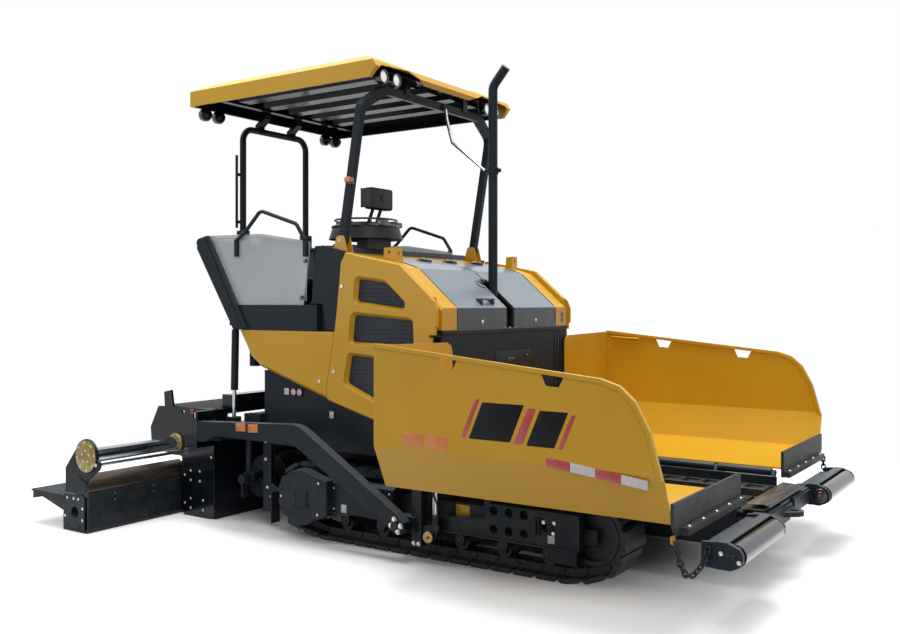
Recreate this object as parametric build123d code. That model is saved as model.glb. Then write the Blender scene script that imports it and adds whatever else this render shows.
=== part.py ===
from build123d import *
import os
from math import atan2, cos, degrees, hypot, pi, radians, sin

# Asphalt paver on tracks.  Millimetres, X forward, Y to the machine's left, Z up.
# The origin is on the ground, under the middle of the overall length and width.
# Most stations along the machine are given from the hood's front face.
os.makedirs("parts", exist_ok=True)

# ---- driving dimensions ----
hood_x = 562.0                  # hood's front face, forward of the origin
run_gap = 6.0                   # between pieces that move past each other
seat_gap = 0.3                  # between a piece and the seat it lies against
pin_gap = 0.3                   # radial, round a pin or shaft

# tracks
track_outer_y = 1000.0
shoe_width = 310.0
loop_radius = 232.0             # chain line's outer radius at both ends, under the shoes
shoe_height = 30.0
idler_x = hood_x + 1125.0
sprocket_x = hood_x - 1205.0
wheel_z = loop_radius + shoe_height + 33.0
ground_front_x = hood_x + 985.0
ground_rear_x = hood_x - 1000.0
shoe_count = 37
shoe_plate = 12.0
shoe_gap = 10.0
track_y = track_outer_y - shoe_width / 2
link_depth = 46.0
link_in_y = 34.0                # sides of a chain row, from the track's middle
link_out_y = 70.0
sprocket_teeth = 10
hub_half = 34.0
axle_half = 84.0
low_roller_r = 54.0
low_roller_z = shoe_height + link_depth + low_roller_r + seat_gap
low_roller_xs = [ground_rear_x + 150.0 + k * (ground_front_x - ground_rear_x - 300.0) / 5 for k in range(6)]
carrier_r = 40.0
carrier_z = wheel_z + loop_radius - link_depth - carrier_r - seat_gap
carrier_xs = (hood_x - 520.0, hood_x + 380.0)
beam_low_z = 205.0

# chassis
side_plate_y = 440.0
side_plate = 20.0
tunnel_floor_z = 470.0
tunnel_top_z = 860.0
deck_z = 900.0
body_y = 880.0
body_plate = 20.0
channel_x = hood_x - 1660.0
cross_xs = (hood_x - 900.0, hood_x, hood_x + 800.0)
post_x = hood_x - 96.0

# hopper
wing_rear_x = hood_x + 23.0
wing_front_x = hood_x + 1900.0
wing_y = 1700.0
wing_plate = 10.0
hinge_y = 500.0
hinge_z = 562.0
hinge_pin_r = 12.0
sleeve_r = 27.0
lug_xs = [hood_x + d for d in (60, 520, 980, 1440, 1850)]
lug_length = 24.0
floor_z = hinge_z + sleeve_r - 1.0
floor_outer = (1580.0, 600.0)
crease_rear_z = 905.0
crease_front_z = 830.0
rim_rear_z = 1500.0
rim_drop = 0.098                # fall of the rim for each millimetre forward

# push beam and rollers
push_pivot_x = hood_x + 2010.0
roller_x = hood_x + 2150.0
roller_z = 420.0
roller_r = 62.0
roller_in_y = 606.0
roller_out_y = 1330.0
tow_eye_x = roller_x - 35.0
tow_eye_r = 30.0

# hood
rail_in_y = 738.0
rail_out_y = 926.0
door_in_y = 935.0
door_out_y = 995.0
door_axis_x = hood_x - 38.0
door_hinge_zs = (1000.0, 1480.0)
door_pin_r = 6.0
knuckle = 60.0                  # length of a hinge's moving knuckle
knuckle_r = 11.0
lid_axis = (hood_x - 703.0, 2094.0)
lid_pin_r = 5.0
lid_hinge_ys = (180.0, 580.0)
lid_slot = 57.0                 # half of the gap between the lids in front of the exhaust
door_rear = [(-810, 2122), (-858, 2050), (-896, 1713), (-920, 1544), (-998, 1114), (-988, 1033)]
door_windows = [[(-700, 1924), (-458, 1892), (-237, 1705), (-714, 1764)],
                [(-738, 1663), (-220, 1625), (-211, 1458), (-761, 1467)],
                [(-771, 1368), (-205, 1326), (-205, 925), (-804, 1167)]]
bulkhead_top_z = 1560.0
exhaust_x = hood_x - 157.0
exhaust_r = 36.0
exhaust_top_z = 3590.0

# roof
roof_front_x = hood_x - 560.0
roof_rear_x = hood_x - 2535.0
roof_y = 950.0
roof_top_z = 3586.0
roof_low_z = roof_top_z - 201.0
roof_edge_z = roof_top_z - 76.0
roof_wall = 12.0
roof_step = 300.0               # where the roof's front slope starts between its corners
lamp_r = 50.0

# hoops that carry the roof
hoop_low = (hood_x - 914.0, 2216.0)
hoop_lean = (170.0, 1000.0)
hoop_y = 890.0
hoop_top = (roof_low_z - 1.0 - hoop_low[1]) * 1.0143
hoop_bar = (hoop_low[0] + 0.17 * (roof_low_z - 62.0 - hoop_low[1]), roof_low_z - 62.0)
hoop_rear_x = hood_x - 2487.0
hoop_rear_z = roof_low_z - 100.0
hoop_tube_r = 28.0

# operator's seats
seat_x = hood_x - 1690.0
seat_y = 450.0
seat_z = 1860.0

# screed, its arms and cylinders
tow_x = hood_x - 200.0
tow_z = 246.0
tow_pin_r = 20.0
arm_in_y = 1115.0
arm_out_y = 1195.0
screed_front_x = hood_x - 2170.0
screed_half = 1020.0
end_plate = 20.0
screed_rear_x = hood_x - 2555.0
tube_x = hood_x - 2620.0
tube_z = 586.0
tube_r = 55.0
guide_r = 12.0
guide_x = hood_x - 2500.0
guide_z = 530.0
ext_front_x = screed_rear_x - 30.0
ext_rear_x = hood_x - 2900.0
ext_top_z = 455.0
reach_y = 1885.0                # outermost face of the drawn-out screed
ext_out_y = reach_y - 25.0
ext_in_y = screed_half - 120.0
gate_bolt_x = ext_rear_x + 133.0
gate_bolt_pitch = (150.0, 200.0)
gate_bolt_r = 8.0
step_rear_x = -(roller_x + roller_r)
cyl_y = 930.0
cyl_top = (hood_x - 2015.0, 1600.0)
cyl_low = (hood_x - 2035.0, 800.0)
barrel_length = 550.0
barrel_r = 30.0
rod_r = 16.0
eye_r = 28.0
rod_eye_r = 34.0
rod_eye_bore_r = 20.0           # wide, because the rod's eye drifts from its pin as the screed lifts
eye_half = 20.0
lug_plate = 12.0
cyl_pin_r = 14.0

# auger
auger_x = hood_x - 1930.0
auger_z = 340.0
auger_r = 170.0
auger_shaft_r = 38.0
auger_stub_r = 24.0
auger_in_y = 70.0
auger_out_y = 850.0


# ---- shapes used by several sub-parts ----
def block(x0, x1, y0, y1, z0, z1):
    """Straight block between two corners."""
    return Pos((x0 + x1) / 2, (y0 + y1) / 2, (z0 + z1) / 2) * Box(x1 - x0, y1 - y0, z1 - z0)


def plate_xz(points, y0, y1):
    """Plate whose outline is drawn in X and Z, between two values of Y."""
    plane = Plane(origin=(0, y0, 0), x_dir=(1, 0, 0), z_dir=(0, -1, 0))
    return extrude(plane * make_face(Polyline(*points, close=True)), amount=-(y1 - y0))


def plate_yz(points, x0, x1):
    """Plate whose outline is drawn in Y and Z, between two values of X."""
    plane = Plane(origin=(x0, 0, 0), x_dir=(0, 1, 0), z_dir=(1, 0, 0))
    return extrude(plane * make_face(Polyline(*points, close=True)), amount=x1 - x0)


def plate_xy(points, z0, z1):
    """Plate whose outline is drawn in X and Y, between two values of Z."""
    plane = Plane(origin=(0, 0, z0), x_dir=(1, 0, 0), z_dir=(0, 0, 1))
    return extrude(plane * make_face(Polyline(*points, close=True)), amount=z1 - z0)


def rod(start, end, radius):
    """Round bar between two points."""
    a = Vector(*start)
    b = Vector(*end)
    plane = Plane(origin=a, z_dir=b - a)
    return extrude(plane * Circle(radius), amount=(b - a).length)


def bent_tube(points, radius, bend):
    """Round tube along straight runs joined by bends of one radius."""
    path = FilletPolyline(*points, radius=bend)
    plane = Plane(origin=path @ 0, z_dir=path % 0)
    return sweep(plane * Circle(radius), path=path)


def mirrored(shape):
    """The same piece on the machine's other side."""
    return mirror(shape, about=Plane.XZ)


def both_sides(shape):
    return Compound(children=[shape, mirrored(shape)])


def joined(shapes):
    shapes = list(shapes)
    first = shapes[0]
    return first.fuse(*shapes[1:]) if len(shapes) > 1 else first


def save(shape, node):
    export_step(shape, f"parts/{node}.step")


def at_hood(points):
    """Outline points given from the hood's front face, put in the machine's frame."""
    return [(hood_x + x, z) for x, z in points]


# ---- tracks ----
def loop_outline(grow):
    """Track loop round sprocket and idler, flat on the ground between its two bends."""
    r = loop_radius + grow
    flat_z = shoe_height - grow
    ends = []
    for x, ground_x, turn in ((idler_x, ground_front_x, 1), (sprocket_x, ground_rear_x, -1)):
        run = abs(x - ground_x)
        drop = wheel_z - flat_z
        reach = hypot(run, drop)
        # direction of the tangent from the ground's end to the wheel
        angle = atan2(drop, run) - atan2(r, (reach ** 2 - r ** 2) ** 0.5)
        ends.append((x, ground_x, turn, angle))
    points = []
    idler, sprocket = ends
    steps = 9
    x, ground_x, turn, angle = idler
    first = -pi / 2 + angle
    for k in range(steps + 1):
        a = first + (pi / 2 - first) * k / steps
        points.append((x + r * cos(a), wheel_z + r * sin(a)))
    x, ground_x, turn, angle = sprocket
    last = -pi / 2 - angle
    for k in range(steps + 1):
        a = pi / 2 + (2 * pi + last - pi / 2) * k / steps
        points.append((x + r * cos(a), wheel_z + r * sin(a)))
    points.append((sprocket[1], flat_z))
    points.append((idler[1], flat_z))
    return points


def loop_length(outline):
    return sum(hypot(q[0] - p[0], q[1] - p[1]) for p, q in zip(outline, outline[1:] + outline[:1]))


def loop_length_points(outline, count):
    """Points and directions evenly spaced along a closed outline."""
    sides = []
    total = 0.0
    for k, p in enumerate(outline):
        q = outline[(k + 1) % len(outline)]
        length = hypot(q[0] - p[0], q[1] - p[1])
        sides.append((total, length, p, q))
        total += length
    places = []
    for k in range(count):
        s = total * k / count
        for start, length, p, q in sides:
            if start <= s < start + length:
                t = (s - start) / length
                place = (p[0] + (q[0] - p[0]) * t, p[1] + (q[1] - p[1]) * t)
                places.append((place, degrees(atan2(q[1] - p[1], q[0] - p[0]))))
                break
    return places


def soft_plate(points, y0, y1, bends):
    """Plate drawn in X and Z with some corners rounded: bends holds (corner, radius) pairs."""
    face = make_face(Polyline(*points, close=True))
    for corner, radius in bends:
        place = Vector(points[corner][0], points[corner][1], 0)
        face = fillet(face.vertices().sort_by_distance(place)[0], radius)
    plane = Plane(origin=(0, y0, 0), x_dir=(1, 0, 0), z_dir=(0, -1, 0))
    return extrude(plane * face, amount=-(y1 - y0))


def turned(profile, x, y, z):
    """Round piece on an axle along Y, from half its outline as (radius, place along the axle)."""
    plane = Plane(origin=(x, y, z), x_dir=(1, 0, 0), z_dir=(0, 0, 1))
    return revolve(plane * make_face(Polyline(*profile, close=True)), Axis((x, y, z), (0, 1, 0)))


def track():
    """One loop of tapered shoes on two rows of chain links, on the machine's left."""
    outer = loop_outline(0)
    pitch = loop_length(outer) / shoe_count
    half = (pitch - shoe_gap) / 2
    section = [(-half, 0), (-half, -shoe_plate), (18 - half, -shoe_height), (half - 18, -shoe_height),
               (half, -shoe_plate), (half, 0)]
    shoe = plate_xz(section, -shoe_width / 2, shoe_width / 2)
    # end of a chain pin, outside the outer row of links
    pin_end = block(pitch / 2 - 16, pitch / 2 + 16, link_out_y - 1, link_out_y + 8, 12, link_depth - 6)
    row = plate_xz(loop_outline(1), link_in_y, link_out_y) - plate_xz(loop_outline(-link_depth), 0, link_out_y + 1)
    row = Pos(0, track_y, 0) * row
    pieces = [row, Pos(0, 2 * track_y, 0) * mirrored(row)]
    for place, angle in loop_length_points(outer, shoe_count):
        here = Pos(place[0], track_y, place[1]) * Rot(0, -angle, 0)
        pieces += [here * shoe, here * pin_end]
    floor = block(-4000, 4000, 0, 2000, -200, 0)
    return joined(pieces) - floor


def drive_housing():
    """Rounded cover over the sprocket's outer end, straight at its front, with a raised plate."""
    x = sprocket_x + 45
    z = wheel_z + 14
    front = hood_x - 900
    y0 = track_outer_y + 8
    y1 = track_outer_y + 98
    r = 206
    nose = plate_xz([(x, z - r), (front, z - 114), (front, z + 145), (x, z + r)], y0, y1)
    body = nose.fuse(rod((x, y0, z), (x, y1, z), r))
    body = chamfer(body.faces().sort_by(Axis.Y)[-1].edges(), 5)
    return body.fuse(block(x - 30, x + 83, y1 - 1, y1 + 6, z - 67, z + 50))


def track_frame():
    """Side frame inside the left track, with its drive housing, roller brackets and idler yoke."""
    y0 = track_outer_y - 250
    y1 = track_outer_y - 60
    face_y = track_outer_y + 12
    beam_x = sprocket_x + 235
    beam = block(beam_x, idler_x - 60, y0, y1, beam_low_z, 400)
    beam -= block(idler_x - 250, idler_x - 59, track_y - 78, track_y + 78, beam_low_z - 1, 401)
    pieces = [beam, drive_housing()]
    for a, b in ((y0, track_y - 78), (track_y + 78, y1)):
        pieces.append(block(idler_x - 61, idler_x + 50, a, b, wheel_z - 50, wheel_z + 50))
    # outer and inner necks either side of the sprocket, and the drive motor
    pieces.append(block(sprocket_x - 90, sprocket_x + 330, track_y + 36, track_outer_y + 9, 200, 390))
    pieces.append(block(sprocket_x, beam_x + 1, y0, track_y - 36, 200, 390))
    pieces.append(rod((sprocket_x, y0 - 80, wheel_z), (sprocket_x, track_y - hub_half - seat_gap, wheel_z), 120))
    pieces.append(rod((sprocket_x, track_y + hub_half + seat_gap, wheel_z), (sprocket_x, y1, wheel_z), 95))
    # box behind the tow arm, its top edge chamfered
    pieces.append(plate_yz([(y1 - 1, 222), (face_y + 23, 222), (face_y + 23, 440), (face_y - 20, 462), (y1 - 1, 462)],
                           hood_x - 901, hood_x - 339))
    pieces.append(block(hood_x - 901, hood_x - 729, y1, face_y + 35, 209, 223))
    # outer plate with its lightening holes, adjuster slot and stiffening lips
    plate = plate_xz(at_hood([(54, 215), (1087, 215), (1087, 435), (447, 435), (395, 340), (54, 300)]), y1 - 1, face_y)
    for dx in (470, 584, 695):
        for z in (274, 394):
            plate -= rod((hood_x + dx, y1 + 20, z), (hood_x + dx, face_y + 1, z), 30)
    plate -= soft_plate(at_hood([(821, 310), (905, 310), (905, 360), (821, 360)]), y1 + 20, face_y + 1,
                        [(k, 22) for k in range(4)])
    pieces.append(plate)
    pieces.append(block(hood_x + 54, hood_x + 1087, face_y - 14, face_y + 16, 209, 221))
    pieces.append(block(hood_x + 447, hood_x + 1087, face_y - 14, face_y + 12, 429, 441))
    pieces.append(block(hood_x + 884, hood_x + 1066, y1 + 5, face_y - 7, 119, 216))
    for x in low_roller_xs:
        for side in (-1, 1):
            a, b = sorted((track_y + side * (axle_half + seat_gap), track_y + side * (axle_half + 16)))
            pieces.append(plate_xz([(x - 42, beam_low_z + 1), (x - 24, low_roller_z - 22), (x + 24, low_roller_z - 22),
                                    (x + 42, beam_low_z + 1)], a, b))
    for x in carrier_xs:
        for side in (-1, 1):
            a, b = sorted((track_y + side * (axle_half + seat_gap), track_y + side * (axle_half + 16)))
            pieces.append(block(x - 25, x + 25, a, b, 399, carrier_z + 20))
    return joined(pieces)


def sprocket():
    """Toothed wheel that drives the chain between its two rows of plates."""
    tip = loop_radius * cos(radians(10)) - 14
    root = tip - 44
    step = 360 / sprocket_teeth
    points = []
    for k in range(sprocket_teeth):
        for turn, r in ((-0.38, root), (-0.13, tip), (0.13, tip), (0.38, root)):
            a = radians((k + turn) * step)
            points.append((sprocket_x + r * cos(a), wheel_z + r * sin(a)))
    wheel = plate_xz(points, track_y - 26, track_y + 26)
    return wheel.fuse(rod((sprocket_x, track_y - hub_half, wheel_z), (sprocket_x, track_y + hub_half, wheel_z), 110))


def roller_set():
    """Left idler, sprocket, lower rollers and carrier rollers."""
    rim = loop_radius * cos(radians(10)) - link_depth - seat_gap
    idler = turned([(0, -77.7), (30, -77.7), (30, -40), (rim - 32, -40), (rim - 32, -74), (rim, -74), (rim, -link_in_y + 4),
                    (rim + 18, -link_in_y + 10), (rim + 18, link_in_y - 10), (rim, link_in_y - 4), (rim, 74), (rim - 32, 74),
                    (rim - 32, 40), (30, 40), (30, 77.7), (0, 77.7)], idler_x, track_y, wheel_z)
    pieces = [idler, sprocket()]
    for x in low_roller_xs:
        pieces.append(turned([(0, -axle_half), (18, -axle_half), (18, -76), (low_roller_r, -76), (low_roller_r, 76), (18, 76),
                              (18, axle_half), (0, axle_half)], x, track_y, low_roller_z))
    for x in carrier_xs:
        pieces.append(rod((x, track_y - axle_half, carrier_z), (x, track_y + axle_half, carrier_z), carrier_r))
    return pieces


# ---- chassis ----
def main_frame():
    """Side plates, engine deck, rear columns, hinge lugs, guide posts and nose."""
    shape = []
    front = wing_front_x - 20
    wall_x = hood_x - 20 - seat_gap
    shape.append(plate_xz([(channel_x, 240), (front, 240), (front, 540), (hood_x, 540), (hood_x, 600), (wall_x, 600),
                           (wall_x, deck_z - 29), (channel_x, deck_z - 29)], side_plate_y, side_plate_y + side_plate))
    for x in cross_xs:
        shape.append(block(x - 60, x + 60, side_plate_y + side_plate - 1, track_outer_y - 250 - seat_gap, 210, 380))
    shape.append(block(channel_x, channel_x + 20, side_plate_y, body_y - seat_gap, tunnel_top_z - 260, deck_z - 30))
    shape += [rear_column()]
    for x in lug_xs:
        shape.append(plate_yz([(side_plate_y + side_plate - 1, 470), (hinge_y + 10, 540), (hinge_y + 16, 562),
                               (hinge_y, 580), (hinge_y - 16, 575), (side_plate_y + side_plate - 1, 538)],
                              x - lug_length / 2, x + lug_length / 2))
    shape.append(rod((lug_xs[0] - 15, hinge_y, hinge_z), (lug_xs[-1] + 15, hinge_y, hinge_z), hinge_pin_r))
    shape += tow_guide()
    half = joined(shape)
    both = half.fuse(mirrored(half))
    cross = [block(channel_x, wall_x, -body_y + seat_gap, body_y - seat_gap, deck_z - 30, deck_z),
             block(front - 40, front + 10, -side_plate_y - 1, side_plate_y + 1, 300, 420),
             block(front, push_pivot_x - 50, -240, 240, 330, tunnel_floor_z - 13),
             block(push_pivot_x - 70, push_pivot_x + 50, -110, 110, 452, 472),
             block(push_pivot_x - 70, push_pivot_x + 50, -110, 110, 332, 352),
             rod((push_pivot_x, 0, 333), (push_pivot_x, 0, 471), 25)]
    for x in cross_xs:
        cross.append(block(x - 60, x + 60, -side_plate_y - 1, side_plate_y + 1, 240, 360))
    for side in (1, -1):
        y0, y1 = sorted((side * (side_plate_y + 1), side * (body_y - 49)))
        cross.append(block(post_x - 40, post_x + 40, y0, y1, 578, 640))
    return both.fuse(*cross)


def rear_column():
    """Left column at the body's rear, with the plate that braces it to the track."""
    column = block(channel_x - 60, channel_x, 840, 900, 110, 1220)
    column -= block(channel_x - 48, channel_x + 1, 852, 888, 109, 690)
    brace = plate_xz(at_hood([(-1725, 110), (-1655, 110), (-1560, 190), (-1560, 290), (-1640, 335), (-1640, 636),
                              (-1662, 636), (-1662, 700), (-1725, 700)]), 899, 911)
    flap = block(hood_x - 1566, hood_x - 1556, 900, 990, 45, 289)
    return column.fuse(brace, flap)


def tow_guide():
    """Left guide post, its bracket over the track, the tow point's slider and the levelling cylinder."""
    y0 = track_outer_y + 20
    y1 = track_outer_y + 90
    post = block(post_x - 40, post_x + 40, y0, y1, 100, 640) - block(post_x - 30, post_x + 30, y0 - 1, y1 - 12, 99, 577)
    slider = block(tow_x - 45, post_x + 1, y0, arm_in_y - run_gap, tow_z - 50, tow_z + 50)
    pin = rod((tow_x, arm_in_y - run_gap - 1, tow_z), (tow_x, arm_out_y + 8, tow_z), tow_pin_r)
    # the cylinder's clevis, rod and barrel stand in front of the post
    x = hood_x + 43
    clevis = plate_xz([(post_x + 39, 190), (hood_x - 30, 140), (hood_x + 30, 140), (x + 22, 200), (x + 22, 300),
                       (x - 22, 300), (x - 22, 250), (post_x + 39, 240)], y0 + 22, y1 - 18)
    wheel = rod((hood_x, y1 - 19, 173), (hood_x, y1 + 2, 173), 40)
    return [block(post_x - 40, post_x + 40, body_y - 50, y1, 578, 640), post, slider, pin, clevis, wheel,
            rod((x, y0 + 37, 299), (x, y0 + 37, 505), 12), rod((x, y0 + 37, 504), (x, y0 + 37, 560), 27),
            block(post_x + 39, x + 30, y0 + 10, y0 + 64, 548, hinge_z + 20)]


def apron():
    """Bent sheet that leads the mix over the push beam, with its stiffened front lip."""
    x0 = wing_front_x + 19
    lip = tow_eye_x - tow_eye_r - 39        # short of the tow eye, so that a pin drops in from above
    sheet = [(x0, 474), (x0 + 30, 478), (lip, 478), (lip + 34, 506), (lip + 30, 512), (lip - 4, 486), (x0 + 30, 486),
             (x0, 482)]
    return plate_xz(sheet, -side_plate_y + 10, side_plate_y - 10)


def conveyor():
    """Two slat conveyors side by side on the tunnel's floor, and the apron at their front."""
    x0 = channel_x - 40
    x1 = wing_front_x + 20
    y = side_plate_y - seat_gap
    pieces = [block(x0, x1, -y, y, tunnel_floor_z - 12, tunnel_floor_z), apron(),
              block(x0, x1, -14, 14, tunnel_floor_z - 1, tunnel_floor_z + 60),
              block(x1 - 8, x1, -side_plate_y + 10, side_plate_y - 10, tunnel_floor_z - 1, 480)]
    for side in (1, -1):
        for y0 in (30, 380):
            a, b = sorted((side * y0, side * (y0 + 30)))
            pieces.append(block(hood_x, x1 - 30, a, b, tunnel_floor_z - 1, tunnel_floor_z + 16))
        count = 13
        for k in range(count):
            x = hood_x + 60 + k * (x1 - hood_x - 130) / (count - 1)
            a, b = sorted((side * 59, side * 381))
            pieces.append(block(x - 18, x + 18, a, b, tunnel_floor_z - 1, tunnel_floor_z + 22))
    return joined(pieces)


def engine_block():
    return block(hood_x - 900, hood_x - 120, -400, 400, deck_z + seat_gap, 1480)


def bulkhead():
    """Dark front wall of the body, with its rolled top edge and the door hinges' brackets."""
    y = rail_out_y
    x = door_axis_x
    outline = [(x - 8, door_out_y + 8), (x + 8, door_out_y + 8), (hood_x - 2, 950), (hood_x - 2, y - 1),
               (hood_x - 18, y - 1), (hood_x - 18, 945), (x - 4, door_out_y - 14)]
    hinges = []
    for z in door_hinge_zs:
        for low in (z - knuckle / 2 - run_gap - 8, z + knuckle / 2 + run_gap):
            hinges.append(plate_xy(outline, low, low + 8))
        hinges.append(rod((x, door_out_y, z - knuckle / 2 - run_gap - 1), (x, door_out_y, z + knuckle / 2 + run_gap + 1),
                          door_pin_r))
    top = bulkhead_top_z
    wall = soft_plate([(hood_x - 20, 640), (hood_x, 640), (hood_x, top - 40), (hood_x + 8, top - 28), (hood_x + 8, top),
                       (hood_x - 20, top)], -y, y, [(4, 7)])
    sides = [block(hood_x - 70, hood_x - 19, a, a + 20, 900, top) for a in (-y, y - 20)]
    # the slot between the lids shows this plate
    filler = block(hood_x - 60, hood_x - 50, 12 - lid_slot, lid_slot - 12, top - 1, 1690)
    foot = block(hood_x - 60, hood_x - 19, 12 - lid_slot, lid_slot - 12, top - 30, top)
    return joined([wall, filler, foot] + sides + hinges + [mirrored(h) for h in hinges])


hood_profile = [(0, bulkhead_top_z + seat_gap), (0, 1714), (-330, 2000), (-480, 2045), (-1000, 2135)]
lid_rear = -700.0
hood_wall = 22.0


def lowered(points, depth):
    """The hood's outline moved inwards by its wall."""
    return [(-depth, points[0][1]), (-depth, points[1][1] - depth * 0.45),
            (points[2][0] - depth * 0.25, points[2][1] - depth * 1.1),
            (points[3][0], points[3][1] - depth * 1.05), (points[4][0], points[4][1] - depth)]


def lifting_bracket():
    """Left lifting bracket, bent from one plate, with an eye in each leaf."""
    side = plate_xz(at_hood([(-555, 2030), (-447, 2010), (-455, 2150), (-545, 2150)]), 853, 873)
    side -= rod((hood_x - 500, 850, 2115), (hood_x - 500, 880, 2115), 14)
    front = plate_yz([(770, 2015), (873, 2015), (873, 2150), (790, 2150)], hood_x - 463, hood_x - 447)
    front -= rod((hood_x - 470, 826, 2105), (hood_x - 440, 826, 2105), 14)
    return side.fuse(front)


def hood_frame():
    """Yellow rails, rear top panel, lifting brackets and roof clevises."""
    inner = lowered(hood_profile, 60)
    rail = plate_xz(at_hood(hood_profile + inner[::-1]), rail_in_y, rail_out_y)
    edge = [e for e in rail.edges().filter_by(Plane.XZ) if abs(e.center().Y - rail_out_y) < 0.1
            and e.center().Z > 1640 and e.center().X > hood_x - 999]
    top_edges = [e for e in edge if e.center().Z > 1600 + (hood_x - e.center().X) * 0.75 or e.center().X > hood_x - 10]
    rail = chamfer(top_edges, 14)
    clevis = [soft_plate(at_hood([(-990, 2120), (-840, 2090), (-880, 2250), (-948, 2250)]), y, y + 8, [(2, 30), (3, 30)])
              for y in (852, 920)]
    half = joined([rail, lifting_bracket()] + clevis)
    pin = rod((hoop_low[0], 852, hoop_low[1]), (hoop_low[0], 928, hoop_low[1]), 10)
    half = half.fuse(pin)
    both = half.fuse(mirrored(half))
    top = plate_xz(at_hood([(lid_rear - run_gap, 2083), (-1000, 2135), (-1000, 2105),
                            (lid_rear - run_gap, 2053)]), -rail_in_y - 1, rail_in_y + 1)
    hinges = []
    x, z = lid_axis
    for y in lid_hinge_ys:
        for low in (y - knuckle / 2 - run_gap - 8, y + knuckle / 2 + run_gap):
            hinges.append(plate_xz([(x - 40, z - 16), (x - 12, z + 9), (x + 8, z + 9), (x + 8, z - 6),
                                    (x - 6, z - 22), (x - 40, z - 20)], low, low + 8))
        hinges.append(rod((x, y - knuckle / 2 - run_gap - 1, z), (x, y + knuckle / 2 + run_gap + 1, z), lid_pin_r))
    return both.fuse(top, *hinges, *[mirrored(h) for h in hinges])


def lid():
    """Left engine lid, notched round the exhaust pipe."""
    cut = [p for p in hood_profile[:4]] + [(lid_rear, 2082)]
    inner = [(-hood_wall, bulkhead_top_z + seat_gap), (-hood_wall, 1704), (-338, 1977), (-484, 2023), (lid_rear, 2060)]
    shell = plate_xz(at_hood(cut + inner[::-1]), run_gap, rail_in_y - run_gap)
    # the slot reaches back so that the opening lid swings clear of the pipe
    notch = block(exhaust_x - exhaust_r - 62, hood_x + 10, 0, lid_slot, 1500, 2200)
    shell -= notch
    x, z = lid_axis
    for y in lid_hinge_ys:
        leaf = plate_xz([(x, z - 6), (x, z + 4), (x + 70, z - 4), (x + 70, z - 22), (x + 12, z - 22)],
                        y - knuckle / 2, y + knuckle / 2)
        barrel = rod((x, y - knuckle / 2, z), (x, y + knuckle / 2, z), knuckle_r - 1)
        shell = shell.fuse(leaf, barrel)
        shell -= rod((x, y - knuckle, z), (x, y + knuckle, z), lid_pin_r + pin_gap)
    return shell


def door():
    """Left side door: pressed skin with bevelled rim, folded front edge and three grille windows."""
    skin_y = door_out_y - 12
    x = door_axis_x
    outline = at_hood([(-1, 764), (-1, 1580), (15, 1586), (15, 1703), (-10, 1764), (-308, 2023)] + door_rear
                      + [(-577, 921)])
    face = make_face(Polyline(*outline, close=True))
    plane = Plane(origin=(0, skin_y, 0), x_dir=(1, 0, 0), z_dir=(0, 1, 0))
    mirror_face = plane * (Plane.XY * mirror(face, about=Plane.XZ))
    skin = extrude(mirror_face, amount=door_out_y - skin_y, taper=40)
    core = plate_xz(outline, door_in_y, skin_y + 1) & block(-2000, x, 0, 2000, 0, 4000)
    body = skin.fuse(core)
    for window in door_windows:
        body -= window_cut(at_hood(window))
    reach = knuckle / 2 + run_gap + 14
    for z in door_hinge_zs:
        body -= block(x - 22, hood_x + 60, door_in_y - 1, door_out_y + 1, z - reach, z + reach)
        leaf = block(x - 23, x, door_out_y - 10, door_out_y, z - knuckle / 2, z + knuckle / 2)
        barrel = rod((x, door_out_y, z - knuckle / 2), (x, door_out_y, z + knuckle / 2), knuckle_r)
        body = body.fuse(leaf, barrel)
        body -= rod((x, door_out_y, z - reach), (x, door_out_y, z + reach), door_pin_r + pin_gap)
    return body


def window_cut(points):
    """Room of one grille window, widening towards the door's outer face."""
    face = make_face(Polyline(*points, close=True))
    face = fillet(face.vertices(), 24)
    plane = Plane(origin=(0, door_out_y - 38, 0), x_dir=(1, 0, 0), z_dir=(0, 1, 0))
    return extrude(plane * mirror(face, about=Plane.XZ), amount=40, taper=-32)


def rear_panel():
    """Left rear panel, tapering to a point under the platform, its lower edge bevelled."""
    front = [(x - run_gap - 2, min(z, 1536)) for x, z in door_rear if z < 1600]
    outline = at_hood(front + [(-1690, 1251), (-1806, 1336), (-1935, 1536)])
    y0 = body_y + body_plate + seat_gap
    plate = plate_xz(outline, y0, door_out_y - 15)
    low = [e for e in plate.edges().filter_by(Plane.XZ) if e.center().Y > door_out_y - 16 and e.center().Z < 1450
           and e.center().X < hood_x - 1100]
    return chamfer(low, 24)


def lower_panel():
    """Left side plate of the body above the track."""
    outline = at_hood([(-24, 642), (-24, bulkhead_top_z), (-1000, 1530), (-1660, 1500), (-1660, 642)])
    return plate_xz(outline, body_y, body_y + body_plate)


def rear_cowl():
    """Dark cowl between engine hood and operator's platform, its sides flush with the doors."""
    outline = at_hood([(-1000 - seat_gap, 2136), (-1030, 2180), (-1160, 2180), (-1180, 2120), (-1140, 1770),
                       (-1100, 1740), (-1100, 1539 + seat_gap), (-1000 - seat_gap, 1539 + seat_gap)])
    front = [(x - run_gap - 2, z) for x, z in door_rear if z > 1540]
    side = at_hood([(-1083, 2184)] + [(-826, 2126)] + front[1:] + [(-1023, 1544), (-1073, 1743), (-1193, 1742),
                                                                   (-1173, 1773), (-1153, 2089)])
    y = rail_out_y + 2 + seat_gap
    sides = [soft_plate(side, a, a + 22, [(0, 25)]) for a in (y, -y - 22)]
    return joined([plate_xz(outline, -y - 1, y + 1)] + sides)


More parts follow.
